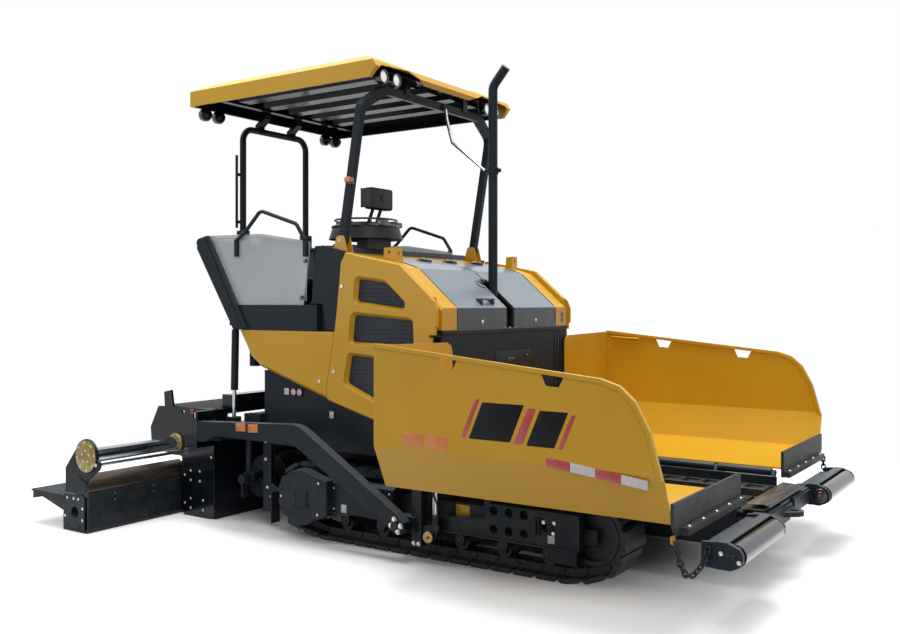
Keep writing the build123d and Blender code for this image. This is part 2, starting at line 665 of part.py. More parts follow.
def cylinder_lugs(place, x0, x1, z0, z1):
    """Two ears and a pin on the left, either side of a cylinder's eye."""
    x, z = place
    inner = cyl_y - eye_half - run_gap
    outer = cyl_y + eye_half + run_gap
    ears = [block(x0, x1, inner - lug_plate, inner, z0, z1),
            block(x0, x1, outer, outer + lug_plate, z0, z1)]
    pin = rod((x, inner - lug_plate, z), (x, outer + lug_plate, z), cyl_pin_r)
    return ears + [pin]


def platform():
    """Operator's floor with its side boxes and rear ears for the lift cylinders."""
    rear = hood_x - 1950
    front = hood_x - 1101
    half = [block(rear, hood_x - 1010, 0, body_y, 1505, 1539),
            block(rear, front, body_y - 40, door_out_y - 20, 1538, 1735),
            block(rear, rear + 60, 400, body_y - 41, 1240, 1506)]
    half += cylinder_lugs(cyl_top, cyl_top[0] - 30, rear + 1, cyl_top[1] - 30, cyl_top[1] + 60)
    half.append(block(seat_x - 100, seat_x + 100, seat_y - 100, seat_y + 100, 1538, seat_z))
    half = joined(half)
    return half.fuse(mirrored(half))


def seats():
    """Two operator's seats, cushion and back."""
    cushion = block(seat_x - 240, seat_x + 240, seat_y - 240, seat_y + 240, seat_z + seat_gap, seat_z + 100)
    back = block(seat_x - 330, seat_x - 240 - seat_gap, seat_y - 230, seat_y + 230, seat_z + 40, seat_z + 430)
    return both_sides(cushion.fuse(back, block(seat_x - 250, seat_x - 230, seat_y - 200, seat_y + 200,
                                               seat_z + 45, seat_z + 95)))


def wind_panels():
    """Clear grey side screens of the platform, each with a formed bead near its edge."""
    outline = at_hood([(-1254, 1735 + seat_gap), (-1183, 2214), (-1699, 2292), (-2318, 2300), (-1990, 1735 + seat_gap)])
    panel = soft_plate(outline, 950, 958, [(1, 30)])
    return both_sides(panel)


def rear_frame():
    """Slanted side frames of the platform, their cross tube and back panel, and grab rails."""
    y0 = door_out_y - 20 + seat_gap
    outline = at_hood([(-1832, 1545), (-2270, 2298), (-2378, 2275), (-2390, 2196), (-1967, 1545)])
    side = plate_xz(outline, y0, door_out_y + 10)
    groove = at_hood([(-1868, 1575), (-2277, 2272), (-2290, 2262), (-1884, 1575)])
    side -= plate_xz(groove, door_out_y + 4, door_out_y + 11)
    panel = plate_xz(at_hood([(-2050, 1700), (-2375, 2230), (-2388, 2222), (-2062, 1692)]), 0, y0 + 1)
    low = plate_xz(at_hood([(-1950 - seat_gap, 1546), (-2052, 1703), (-2064, 1695), (-1962, 1540)]), 0, body_y - 20)
    tube = rod((hood_x - 2392, 0, 2245), (hood_x - 2392, y0 + 12, 2245), 25)
    foot = block(hood_x - 2530, hood_x - 2440, 365, 435, 2240, 2385)
    web = block(hood_x - 2441, hood_x - 2391, 365, 435, 2240, 2268)
    grab = bent_tube([(hood_x - 1960, 985, 2240), (hood_x - 1850, 985, 2310), (hood_x - 1680, 985, 2470),
                      (hood_x - 1300, 985, 2350), (hood_x - 1215, 985, 2225)], 15, 60)
    post = block(hood_x - 1975, hood_x - 1945, 958 + seat_gap, 985, 2120, 2245)
    post2 = block(hood_x - 1235, hood_x - 1200, 958 + seat_gap, 985, 2100, 2235)
    half = joined([side, panel, low, tube, foot, web])
    rail = joined([grab, post, post2])
    return Compound(children=[half.fuse(mirrored(half)), rail, mirrored(rail)])


def console():
    """Operator's console with its display."""
    x = hood_x - 1180
    y = -300
    base = block(hood_x - 1150, hood_x - 1040, y - 150, y + 150, 2180 + seat_gap, 2262)
    dash = Pos(x, y, 2310) * Cone(300, 270, 100)
    hub = Pos(x, y, 2380) * Cone(230, 120, 42)
    arms = [rod((x + 60, y - 50, 2380), (x + 120, y - 50, 2520), 14),
            rod((x + 60, y + 50, 2380), (x + 120, y + 50, 2520), 14)]
    screen = Pos(x + 125, y, 2580) * Box(60, 260, 160)
    return joined([base, dash, hub] + arms + [screen])


def exhaust_stack():
    """Exhaust pipe with its curved tip, clamp and the bent stay to the front hoop."""
    base_z = 1480 + seat_gap
    pipe = bent_tube([(exhaust_x, 0, base_z), (exhaust_x, 0, exhaust_top_z - 160),
                      (exhaust_x + 118, 0, exhaust_top_z - 25)], exhaust_r, 90)
    clamp_z = 2775
    clamp = rod((exhaust_x, 0, clamp_z - 25), (exhaust_x, 0, clamp_z + 25), exhaust_r + 8)
    ears = block(exhaust_x - 75, exhaust_x + 70, -8, 8, clamp_z - 14, clamp_z + 14)
    bar_x, bar_z = hoop_bar
    stay = bent_tube([(exhaust_x - 66, 0, clamp_z), (bar_x + 122, 90, 3048), (bar_x + 62, 95, 3246),
                      (bar_x + 44, 104, bar_z + 20)], 8, 30)
    plate = block(bar_x + 20, bar_x + 48, 80, 130, bar_z - 10, bar_z + 50) - hoop_room()
    return joined([pipe, clamp, ears, stay, plate])


def hoop_room():
    """Room that the front hoop's top bar takes, with its seats' clearance."""
    lean = degrees(atan2(*hoop_lean))
    half = 30 + seat_gap
    return Pos(hoop_low[0], 0, hoop_low[1]) * Rot(0, lean, 0) * block(-half, half, -hoop_y, hoop_y, 0, hoop_top + seat_gap)


def roof_solid(inset, top, low):
    """Roof body with chamfered edges and a step between its front corners, shrunk by an inset."""
    x0 = roof_rear_x + inset
    x1 = roof_front_x - inset
    y = roof_y - inset
    edge = roof_edge_z - inset * 0.5
    across = plate_yz([(-y, low), (y, low), (y, edge), (y - 150, top), (-y + 150, top), (-y, edge)], x0, x1)
    along = plate_xz([(x0, low), (x1 - 60, low), (x1, low + 75), (x1 - 30, edge), (x1 - 190, top),
                      (x0 + 150, top), (x0, edge)], -y - 5, y + 5)
    # between the front corners the slope starts farther back
    middle = plate_yz([(-600 - inset, top + 1), (-500 - inset, low), (500 + inset, low), (600 + inset, top + 1)],
                      x1 - roof_step, x1 + 1)
    wedge = plate_xz([(x1 - roof_step, top + 1), (x1 - roof_step, top), (x1 - 30, edge), (x1 + 1, edge),
                      (x1 + 1, top + 1)], -y, y)
    return (across & along) - (middle & wedge)


def canopy_roof():
    """Yellow roof shell, open below, its front arched over the lamps at both corners."""
    shell = roof_solid(0, roof_top_z, roof_low_z) - roof_solid(roof_wall, roof_top_z - roof_wall, roof_low_z - 1)
    low = roof_low_z
    arch = [(316, low + 45), (524, low + 117), (880, low + 92), (905, low + 60), (923, low - 5)]
    outline = [(-y, z) for y, z in arch[::-1]] + arch
    return shell - plate_yz(outline, roof_front_x - 100, roof_front_x + 5)


def lamp(x, y, z, turn):
    """Round work lamp with a tapering back, facing forward or, turned, to the rear."""
    profile = [(0, -45), (24, -45), (44, -22), (lamp_r, -8), (lamp_r, 22), (lamp_r - 6, 30), (0, 30)]
    half = [(r, turn * a) for r, a in profile]
    plane = Plane(origin=(x, y, z), x_dir=(0, 0, 1), z_dir=(0, 1, 0))
    return revolve(plane * make_face(Polyline(*half, close=True)), Axis((x, y, z), (1, 0, 0)))


def roof_liner():
    """Dark ribbed liner and skirts inside the roof, with the hoops' brackets and work lamps."""
    wall = roof_wall + seat_gap
    x0 = roof_rear_x + wall
    x1 = roof_front_x - 110
    y = roof_y - wall
    liner_z = roof_low_z + 95
    pieces = [block(x0, x1, -y, y, liner_z, liner_z + 8),
              block(x0, x0 + 8, -y, y, roof_low_z + 3, liner_z + 1)]
    for a in (-y, y - 8):
        pieces.append(block(x0, x1, a, a + 8, roof_low_z + 3, liner_z + 1))
    for k in range(5):
        yc = -600 + k * 300
        pieces.append(plate_yz([(yc - 90, liner_z + 1), (yc - 62, liner_z - 38), (yc + 62, liner_z - 38),
                                (yc + 90, liner_z + 1)], x0 + 260, x1 - 60))
    pieces.append(block(x0 + 170, x0 + 230, -y, y, liner_z - 50, liner_z + 1))
    bar_x, bar_z = hoop_bar
    for yc in (-400, 400):
        pieces.append(block(bar_x - 40, bar_x + 50, yc - 30, yc + 30, bar_z + 30, liner_z + 1) - hoop_room())
    # cranked brackets down to the rear hoop
    back = rod((hoop_rear_x, -320, hoop_rear_z), (hoop_rear_x, 320, hoop_rear_z), hoop_tube_r + seat_gap)
    crank = [(hoop_rear_x + 30, hoop_rear_z - 14), (hoop_rear_x + 30, hoop_rear_z + 40), (hoop_rear_x + 110, hoop_rear_z + 100),
             (hoop_rear_x + 110, liner_z + 1), (hoop_rear_x + 70, liner_z + 1), (hoop_rear_x + 70, hoop_rear_z + 118),
             (hoop_rear_x - 20, hoop_rear_z + 52), (hoop_rear_x - 20, hoop_rear_z - 14)]
    for yc in (-200, 200):
        pieces.append(plate_xz(crank, yc - 35, yc + 35) - back)
    for yc in (-826, -680, 680, 826):
        pieces.append(block(roof_rear_x + 44, roof_rear_x + 70, yc - 10, yc + 10, roof_low_z - 30, liner_z + 1))
        pieces.append(lamp(roof_rear_x + 60, yc, roof_low_z - 52, -1))
    for yc in (-794, -640, 640, 794):
        pieces.append(block(roof_front_x - 128, roof_front_x - 100, yc - 10, yc + 10, roof_low_z + 30, liner_z + 1))
        pieces.append(lamp(roof_front_x - 84, yc, roof_low_z + 28, 1))
    return joined(pieces)


def front_hoop():
    """Square-section hoop leaning forward from its clevises, its upper corners cranked inward."""
    length = hypot(*hoop_lean)
    up = Vector(hoop_lean[0] / length, 0, hoop_lean[1] / length)
    plane = Plane(origin=(hoop_low[0], 0, hoop_low[1]), x_dir=(0, 1, 0), z_dir=up.cross(Vector(0, 1, 0)) * -1)

    def ring(side, top, drop):
        corner = [(side, -60), (side, top - drop), (side - 235, top)]
        face = make_face(Polyline(*corner, *[(-u, v) for u, v in corner[::-1]], close=True))
        for u, v in (corner[1], corner[2], (-corner[1][0], corner[1][1]), (-corner[2][0], corner[2][1])):
            face = fillet(face.vertices().sort_by_distance(Vector(u, v, 0))[0], 90)
        return face

    hoop = extrude(plane * (ring(hoop_y + 25, hoop_top, 165) - ring(hoop_y - 25, hoop_top - 62, 142)), amount=30, both=True)
    hoop = hoop & block(-2000, 2000, -2000, 2000, hoop_low[1] - 20, 4000)
    for side in (1, -1):
        hoop -= rod((hoop_low[0], side * (hoop_y - 40), hoop_low[1]), (hoop_low[0], side * (hoop_y + 40), hoop_low[1]),
                    10 + pin_gap)
    return hoop


def rear_hoop():
    """Round-tube hoop behind the seats, with the prop that hangs beside its right leg."""
    x = hoop_rear_x
    low = 2385 + seat_gap
    hoop = bent_tube([(x, -400, low), (x, -400, hoop_rear_z), (x, 400, hoop_rear_z), (x, 400, low)],
                     hoop_tube_r, 110)
    prop = rod((x, -475, low + 20), (x, -475, 3040), 12)
    clips = [block(x - 10, x + 10, -482, -398, z, z + 26) for z in (low + 60, 2860)]
    return joined([hoop, prop] + clips)


# ---- hopper ----
def wing_outline():
    """Side outline of a wing's outer wall."""
    length = wing_front_x - wing_rear_x
    return [(wing_rear_x, 560), (wing_rear_x, rim_rear_z),
            (wing_rear_x + 1530, rim_rear_z - 1530 * rim_drop),
            (wing_rear_x + 1640, rim_rear_z - 1530 * rim_drop - 35),
            (wing_rear_x + 1725, rim_rear_z - 1530 * rim_drop - 110),
            (wing_rear_x + 1805, 1090), (wing_front_x, crease_front_z), (wing_front_x, 560)]


def wing():
    """Left hopper wing: floor, slanted skirt, outer wall with its rim, and rear wall."""
    t = wing_plate
    crease = (crease_rear_z + crease_front_z) / 2
    fy, fz = floor_outer
    section = [(hinge_y, floor_z), (fy, fz), (wing_y, crease), (wing_y, rim_rear_z + 5),
               (wing_y - t, rim_rear_z + 5), (wing_y - t, crease + 3), (fy - 4, fz + t), (hinge_y, floor_z + t)]
    sheet = plate_yz(section, wing_rear_x, wing_front_x)
    outline = plate_xz(wing_outline(), 0, wing_y + 50)
    shell = sheet & outline
    for x in (hood_x + 567, hood_x + 1262):
        top = rim_rear_z - (x - wing_rear_x) * rim_drop - 24
        shell -= plate_xz([(x - 72, top + 7), (x + 72, top - 7), (x + 42, top - 66), (x - 42, top - 60)],
                          wing_y - 60, wing_y + 20)
    rear = plate_yz([(845, 900), (hinge_y + 340, floor_z + 5), (fy, fz + 2), (wing_y - 1, crease), (wing_y - 1, rim_rear_z - 10),
                     (905, rim_rear_z - 22), (860, rim_rear_z - 45), (845, rim_rear_z - 90)],
                    wing_rear_x, wing_rear_x + t)
    rim_in = wing_rear_x
    line = [(rim_in, rim_rear_z), (rim_in + 1530, rim_rear_z - 1530 * rim_drop),
            (rim_in + 1640, rim_rear_z - 1530 * rim_drop - 35), (rim_in + 1725, rim_rear_z - 1530 * rim_drop - 110),
            (rim_in + 1805, 1090), (wing_front_x - 3, crease_front_z + 10)]
    inside = [(rim_in, rim_rear_z - 24), (rim_in + 1526, rim_rear_z - 1530 * rim_drop - 24),
              (rim_in + 1628, rim_rear_z - 1530 * rim_drop - 57), (rim_in + 1704, rim_rear_z - 1530 * rim_drop - 124),
              (rim_in + 1782, 1085), (wing_front_x - 27, crease_front_z + 6)]
    rim = plate_xz(line + inside[::-1], wing_y - 22, wing_y + 8)
    pieces = [shell, rear, rim]
    for k in range(len(lug_xs) - 1):
        x0 = lug_xs[k] + lug_length / 2 + run_gap
        x1 = lug_xs[k + 1] - lug_length / 2 - run_gap
        pieces.append(rod((x0, hinge_y, hinge_z), (x1, hinge_y, hinge_z), sleeve_r))
    body = joined(pieces)
    return body - rod((wing_rear_x - 10, hinge_y, hinge_z), (wing_front_x + 10, hinge_y, hinge_z),
                      hinge_pin_r + pin_gap)


def wing_flap():
    """Dark flap and angle bar on the front of the left wing."""
    x0 = wing_front_x + seat_gap
    flap = plate_yz([(482, 534), (1560, 540), (1600, 600), (1604, 712), (482, 712)], x0, x0 + 18)
    bar = block(x0 + 17, x0 + 60, 490, 1500, 534, 572)
    return flap.fuse(bar)


# ---- front ----
def push_beam():
    """Swinging push beam: boxes, roller channels with their end plates, and tow hook."""
    x0 = push_pivot_x - 25
    x1 = push_pivot_x + 70
    core = block(x0, x1 - 10, -140, 140, 352 + run_gap, 452 - run_gap)
    inner = roller_in_y - 46
    outer = roller_out_y + 50
    half = [block(x0 + 1, x1 - 12, 139, 1270, 360, 470),
            block(x1 - 13, x1, 139, inner + 1, 372, 458),
            block(x1 - 13, x1, inner, outer, 350, 486),
            plate_xz([(x1 - 13, 485), (x1, 474), (roller_x - 24, 486), (roller_x - 24, 495), (x1 - 13, 495)], inner, outer)]
    cheek = [(x0, 356), (x0, 486), (x1, 494), (roller_x - 24, 494), (roller_x + 36, 470), (roller_x + 56, 440),
             (roller_x + 56, 400), (roller_x + 36, 372), (roller_x - 10, 350)]
    for y0, y1 in ((inner, inner + 26), (outer - 30, outer)):
        half.append(soft_plate(cheek, y0, y1, [(3, 20), (4, 20), (5, 20), (6, 20), (7, 20)]))
    half.append(rod((roller_x, roller_in_y - 40, roller_z), (roller_x, roller_in_y - run_gap, roller_z), 18))
    half.append(rod((roller_x, roller_out_y + run_gap, roller_z), (roller_x, outer + 10, roller_z), 18))
    axle = rod((roller_x, roller_in_y - 40, roller_z), (roller_x, roller_out_y + 40, roller_z), 15)
    keeper = block(roller_x - 48, roller_x - 12, outer - 1, outer + 8, roller_z - 10, roller_z + 14)
    half = joined(half + [axle, keeper])
    hook = plate_xy([(x1 - 11, -130), (x1 - 11, 130), (roller_x - 30, 80), (roller_x + 10, 45), (roller_x + 25, 0),
                     (roller_x + 10, -45), (roller_x - 30, -80)], 388, 418)
    hook = fillet(hook.edges().filter_by(Axis.Z).sort_by(Axis.X)[-5:], 18)
    hook -= rod((tow_eye_x, 0, 380), (tow_eye_x, 0, 430), tow_eye_r)
    beam = core.fuse(half, mirrored(half), hook)
    return beam - rod((push_pivot_x, 0, 300), (push_pivot_x, 0, 500), 25 + pin_gap)


def push_roller():
    """Left push roller, free on its axle."""
    roller = rod((roller_x, roller_in_y, roller_z), (roller_x, roller_out_y, roller_z), roller_r)
    return roller - rod((roller_x, roller_in_y - 1, roller_z), (roller_x, roller_out_y + 1, roller_z), 15 + pin_gap)


# ---- augers ----
def flight(r0, r1, y0, y1, turns, steps, thick):
    """Screw blade of flat facets round the auger's axis."""
    rings = []
    for j in range(turns * steps + 1):
        a = 2 * pi * j / steps
        y = y0 + (y1 - y0) * j / (turns * steps)
        rings.append([(auger_x + r * cos(a), y + dy, auger_z + r * sin(a))
                      for r, dy in ((r0, 0), (r1, 0), (r1, thick), (r0, thick))])
    faces = [rings[0], rings[-1][::-1]]
    for near, far in zip(rings, rings[1:]):
        for k in range(4):
            m = (k + 1) % 4
            faces.append([near[k], far[k], near[m]])
            faces.append([near[m], far[k], far[m]])
    return Solid(Shell([Face(Wire.make_polygon(points, close=True)) for points in faces]))


def auger():
    """Left auger: shaft, its end stubs, the flight and the outer paddle."""
    shaft = rod((auger_x, auger_in_y, auger_z), (auger_x, auger_out_y, auger_z), auger_shaft_r)
    y = auger_out_y + 2 * run_gap + 20
    stub = rod((auger_x, auger_in_y - 50, auger_z), (auger_x, y + 1, auger_z), auger_stub_r)
    boss = rod((auger_x, y, auger_z), (auger_x, y + 70, auger_z), auger_shaft_r)
    paddle = plate_yz([(y + 8, auger_z - 30), (y + 62, auger_z - 30), (y + 62, auger_z - 140), (y + 30, auger_z - 150),
                       (y + 8, auger_z - 120)], auger_x - 6, auger_x + 6)
    blade = flight(auger_shaft_r - 8, auger_r, auger_in_y + 30, auger_out_y - 40, 3, 14, 14)
    return shaft.fuse(stub, boss, paddle, blade)


def auger_beam():
    """Cross beam that carries the augers' centre drive and outer hangers."""
    x0 = channel_x - 60 - seat_gap
    beam = block(x0 - 100, x0, -950, 950, 770, 880)
    centre = block(auger_x - 60, auger_x + 60, -auger_in_y + run_gap, auger_in_y - run_gap, auger_z - 90, 860)
    arm = block(auger_x - 20, x0 - 20, -50, 50, 771, 861)
    hangers = []
    y0 = auger_out_y + run_gap
    for side in (1, -1):
        a, b = sorted((side * y0, side * (y0 + 20)))
        c, d = sorted((side * (y0 - 40), side * (y0 + 34)))
        hub = rod((auger_x, a, auger_z), (auger_x, b, auger_z), 62)
        tube = rod((auger_x, side * (y0 + 10), auger_z + 60), (auger_x, side * (y0 + 10), 780), 24)
        strap = plate_xz([(auger_x - 22, auger_z), (auger_x + 22, auger_z), (auger_x + 30, 790), (auger_x - 30, 790)],
                         a, b)
        hangers += [hub, strap, tube, block(auger_x - 30, x0 - 20, c, d, 771, 861)]
    bearings = rod((auger_x, -y0 - 40, auger_z), (auger_x, y0 + 40, auger_z), auger_stub_r + pin_gap)
    web = block(auger_x - 30, auger_x + 30, -15, 15, auger_z - 40, auger_z + 40)
    return (joined([beam, centre, arm] + hangers) - bearings).fuse(web)


# ---- screed ----
def tow_arms():
    """Left and right tow arms, bent over the track, with their rear feet and the lift cylinders' ears."""
    outline = at_hood([(-2169.7, 812), (-1097, 862), (-199, 327), (-130, 270), (-118, 225), (-160, 184), (-206, 190),
                       (-306, 254), (-1130, 712), (-1960, 712), (-2090, 658), (-2169.7, 655)])
    arm = soft_plate(outline, arm_in_y, arm_out_y, [(1, 260), (2, 30), (3, 18), (5, 18), (7, 60), (8, 130)])
    arm -= rod((tow_x, arm_in_y - 1, tow_z), (tow_x, arm_out_y + 1, tow_z), tow_pin_r + pin_gap)
    foot = block(screed_front_x + seat_gap, cyl_low[0] + 45, cyl_y - 40, arm_in_y + 1, 660, 755)
    flange = block(screed_front_x + seat_gap, screed_front_x + 230, arm_in_y - 60, arm_out_y, 795, 807)
    half = joined([arm, foot, flange] + cylinder_lugs(cyl_low, cyl_low[0] - 50, cyl_low[0] + 45, 754, 835))
    return Compound(children=[half, mirrored(half)])


def screed_end():
    """Left end plate of the main screed, with its corner tab, sight holes and slot."""
    x0 = screed_rear_x
    x1 = screed_front_x
    y = screed_half - end_plate
    outline = [(x1, 26), (x1, 892), (x1 - 496, 886), (x1 - 521, 1022), (x1 - 610, 1003), (x1 - 600, 884),
               (x1 - 683, 878), (x1 - 783, 695), (x1 - 770, 569), (x1 - 640, 500), (x0 - 20, 490), (x0 + 1, 470),
               (x0 + 1, 40), (x0 + 30, 0), (x1 - 40, 0)]
    end = plate_xz(outline, y, screed_half)
    end -= rod((x1 - 371, y - 1, 850), (x1 - 371, screed_half + 1, 850), 17)
    end -= block(x1 - 252, x1 - 222, y - 1, screed_half + 1, 805, 850)
    return end - soft_plate([(x1 - 440, 405), (x1 - 370, 405), (x1 - 370, 432), (x1 - 440, 432)], y - 1, screed_half + 1,
                            [(k, 13) for k in range(4)])


def screed_frame():
    """Main screed: plates, cross beam bored for the sliding tubes, end plates and the tool box on top."""
    x0 = screed_rear_x
    x1 = screed_front_x
    y = screed_half - end_plate
    half = [screed_end(),
            block(x1 - 20, x1, 0, y + 1, 30, 700),
            block(x1 - 21, x1, y - 130, arm_out_y, 600, 889),
            block(x0, x1, 0, y + 1, 0, 32),
            block(x0, x0 + 15, 0, y + 1, 31, 470),
            block(x0 - 160, x1 - 19, 0, y + 1, 478, 498),
            block(tube_x - 95, tube_x + 95, 0, y + 1, 497, 680),
            block(x0 - 160, x1, y - 130, y + 1, 860, 880),
            block(x1 - 60, x1 - 19, 0, y, 840, 880),
            plate_xz([(x1 - 55, 839), (x1 - 55, 1000), (x1 + 60, 1000), (x1 + 60, 890), (x1 - 19, 888), (x1 - 19, 839)],
                     0, 880)]
    half = joined(half)
    half -= rod((tube_x, -1, tube_z), (tube_x, screed_half + 1, tube_z), tube_r + 6)
    half -= rod((guide_x, -1, guide_z), (guide_x, screed_half + 1, guide_z), guide_r + 6)
    ring = rod((tube_x, screed_half - 1, tube_z), (tube_x, screed_half + 16, tube_z), tube_r + 26)
    ring = chamfer(ring.faces().sort_by(Axis.Y)[-1].edges(), 6)
    ring -= rod((tube_x, screed_half - 2, tube_z), (tube_x, screed_half + 17, tube_z), tube_r + pin_gap)
    half = half.fuse(ring)
    return half.fuse(mirrored(half))


def screed_walkway():
    """Tread plate over the main screed."""
    x1 = screed_front_x - 65
    return block(x1 - 560, x1, -screed_half + end_plate + seat_gap, screed_half - end_plate - seat_gap,
                 880 + seat_gap, 890)


def extension():
    """Left screed extension: bent front sheet, end plate set back in it, tube upright and rear step."""
    f = ext_front_x
    front = [(f, 28), (f, 318), (f - 58, 388), (f - 150, 425), (f - 290, 330), (f - 290, 0), (f - 24, 0)]
    body = plate_xz(front, ext_in_y, ext_out_y - 60)
    sheet = plate_xz([(f, 28), (f, 318), (f - 58, 388), (f - 150, 425), (f - 154, 413), (f - 66, 378), (f - 12, 313),
                      (f - 12, 34), (f - 33, 12), (f - 33, 0), (f - 24, 0)], ext_out_y - 61, reach_y)
    cover = block(f - 1, f + 5, ext_in_y + 130, reach_y, 205, 300)
    upright = extension_upright()
    hub = rod((tube_x, ext_out_y + 14, tube_z), (tube_x, reach_y, tube_z), 127)
    end = plate_xz([(ext_rear_x, 0), (ext_rear_x, 262), (ext_rear_x + 24, 280), (f - 50, 280), (f - 50, 0)],
                   ext_out_y - 61, reach_y)
    end -= rod((tube_x - 135, ext_out_y - 40, 146), (tube_x - 135, reach_y + 1, 146), 45)
    for dx in (-gate_bolt_pitch[0] / 2, gate_bolt_pitch[0] / 2):
        for dz in (-gate_bolt_pitch[1] / 2, gate_bolt_pitch[1] / 2):
            x = gate_bolt_x + dx
            end -= rod((x, reach_y - 20, 140 + dz), (x, reach_y + 1, 140 + dz), gate_bolt_r)
    step = block(step_rear_x, ext_rear_x + 16, ext_in_y + 40, reach_y - 5, 250, 264)
    ribs = [plate_xz([(step_rear_x + 10, 251), (step_rear_x + 10, 190), (step_rear_x + 140, 215),
                      (ext_rear_x + 14, 130), (ext_rear_x + 14, 251)], y, y + 10)
            for y in (ext_in_y + 60, reach_y - 25)]
    pieces = [body, sheet, cover, upright, hub, end, step] + ribs
    return joined(pieces) - rod((tube_x, ext_in_y, tube_z), (tube_x, ext_out_y + 10, tube_z), tube_r + pin_gap)


def extension_tube():
    """Left chrome sliding tube and its guide rod."""
    tube = rod((tube_x, ext_in_y - 40, tube_z), (tube_x, ext_out_y - 1 - seat_gap, tube_z), tube_r)
    guide = rod((guide_x, ext_in_y - 40, guide_z), (guide_x, ext_out_y - 1 - seat_gap, guide_z), guide_r)
    return Compound(children=[tube, guide])


def lift_barrel():
    """Left lift cylinder's barrel, hung from the platform."""
    a = Vector(cyl_top[0], cyl_y, cyl_top[1])
    b = Vector(cyl_low[0], cyl_y, cyl_low[1])
    along = (b - a).normalized()
    barrel = rod(tuple(a + along * 62), tuple(a + along * barrel_length), barrel_r)
    barrel = barrel.fuse(rod(tuple(a), tuple(a + along * 63), eye_half - 2))
    eye = rod((a.X, cyl_y - eye_half, a.Z), (a.X, cyl_y + eye_half, a.Z), eye_r)
    barrel = barrel.fuse(eye)
    barrel -= rod((a.X, cyl_y - eye_half - 1, a.Z), (a.X, cyl_y + eye_half + 1, a.Z), cyl_pin_r + pin_gap)
    return barrel - rod(tuple(a + along * 220), tuple(a + along * (barrel_length + 1)), rod_r + pin_gap)


def lift_rod():
    """Left lift cylinder's rod with its lower eye."""
    a = Vector(cyl_top[0], cyl_y, cyl_top[1])
    b = Vector(cyl_low[0], cyl_y, cyl_low[1])
    along = (b - a).normalized()
    bar = rod(tuple(a + along * 450), tuple(b), rod_r)
    eye = rod((b.X, cyl_y - eye_half, b.Z), (b.X, cyl_y + eye_half, b.Z), rod_eye_r)
    return bar.fuse(eye) - rod((b.X, cyl_y - eye_half - 1, b.Z), (b.X, cyl_y + eye_half + 1, b.Z),
                               rod_eye_bore_r)


def extension_upright():
    """Upright plate that clamps the sliding tube and its guide rod at the extension's end."""
    y0 = ext_out_y - 1
    y1 = ext_out_y + 15
    f = ext_front_x
    plate = plate_xz([(tube_x - 267, 290), (tube_x - 267, 476), (tube_x - 96, tube_z + 88), (tube_x, tube_z),
                      (guide_x, guide_z), (guide_x + 30, guide_z - 34), (f - 30, 400), (f - 60, 290)], y0, y1)
    return joined([plate, rod((tube_x, y0, tube_z), (tube_x, y1, tube_z), 131),
                   rod((guide_x, y0, guide_z), (guide_x, y1, guide_z), 42)])


# ---- one file for each sub-part ----
whole = {"main_frame": main_frame, "conveyor": conveyor, "engine_block": engine_block, "bulkhead": bulkhead,
         "hood_frame": hood_frame, "rear_cowl": rear_cowl, "platform": platform, "seats": seats,
         "wind_panels": wind_panels, "rear_frame": rear_frame, "console": console,
         "exhaust_stack": exhaust_stack, "canopy_roof": canopy_roof, "roof_liner": roof_liner,
         "front_hoop": front_hoop, "rear_hoop": rear_hoop, "push_beam": push_beam, "auger_beam": auger_beam,
         "tow_arms": tow_arms, "screed_frame": screed_frame, "screed_walkway": screed_walkway}
paired = {"track": track, "hood_lid": lid, "side_door": door, "wing": wing, "wing_flap": wing_flap,
          "push_roller": push_roller, "auger": auger, "extension": extension, "extension_tube": extension_tube,
          "lift_barrel": lift_barrel, "lift_rod": lift_rod}
on_both = {"track_frames": track_frame, "rear_panels": rear_panel, "lower_panels": lower_panel}

for node, build in whole.items():
    save(build(), node)
for node, build in on_both.items():
    save(both_sides(build()), node)
for node, build in paired.items():
    left = build()
    save(left, f"{node}_left")
    save(mirrored(left), f"{node}_right")
wheels = roller_set()
save(Compound(children=wheels + [mirrored(w) for w in wheels]), "track_rollers")
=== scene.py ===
import bpy
import bmesh
import math
from mathutils import Matrix, Vector


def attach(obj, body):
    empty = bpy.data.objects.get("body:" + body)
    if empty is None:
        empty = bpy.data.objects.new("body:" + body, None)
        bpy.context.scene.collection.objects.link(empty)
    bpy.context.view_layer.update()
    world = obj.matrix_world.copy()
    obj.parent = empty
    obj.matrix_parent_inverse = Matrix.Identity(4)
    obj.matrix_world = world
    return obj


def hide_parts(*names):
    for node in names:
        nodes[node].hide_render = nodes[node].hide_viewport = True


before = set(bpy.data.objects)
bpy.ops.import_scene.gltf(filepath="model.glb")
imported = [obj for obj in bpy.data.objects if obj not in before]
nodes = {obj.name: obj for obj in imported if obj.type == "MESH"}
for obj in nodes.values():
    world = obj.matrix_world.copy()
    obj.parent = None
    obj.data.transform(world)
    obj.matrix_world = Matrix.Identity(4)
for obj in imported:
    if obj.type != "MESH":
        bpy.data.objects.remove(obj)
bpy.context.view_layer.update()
print("frame loaded", len(nodes), "nodes")

# camera, at a standing person's eye height in front of the machine's right side
cameraSetup = {"place": (4.277, -6.305, 1.75), "tilt": 90, "turn": 34.14, "lens": 38.07, "sensor": 36,
               "shiftY": -0.0156}


def makeCamera():
    s = cameraSetup
    aim = (math.radians(s["tilt"]), 0, math.radians(s["turn"]))
    bpy.ops.object.camera_add(location=s["place"], rotation=aim)
    cam = bpy.context.object
    cam.name = "viewCamera"
    cam.data.lens = s["lens"]
    cam.data.sensor_width = s["sensor"]
    cam.data.shift_y = s["shiftY"]
    bpy.context.scene.camera = cam


makeCamera()

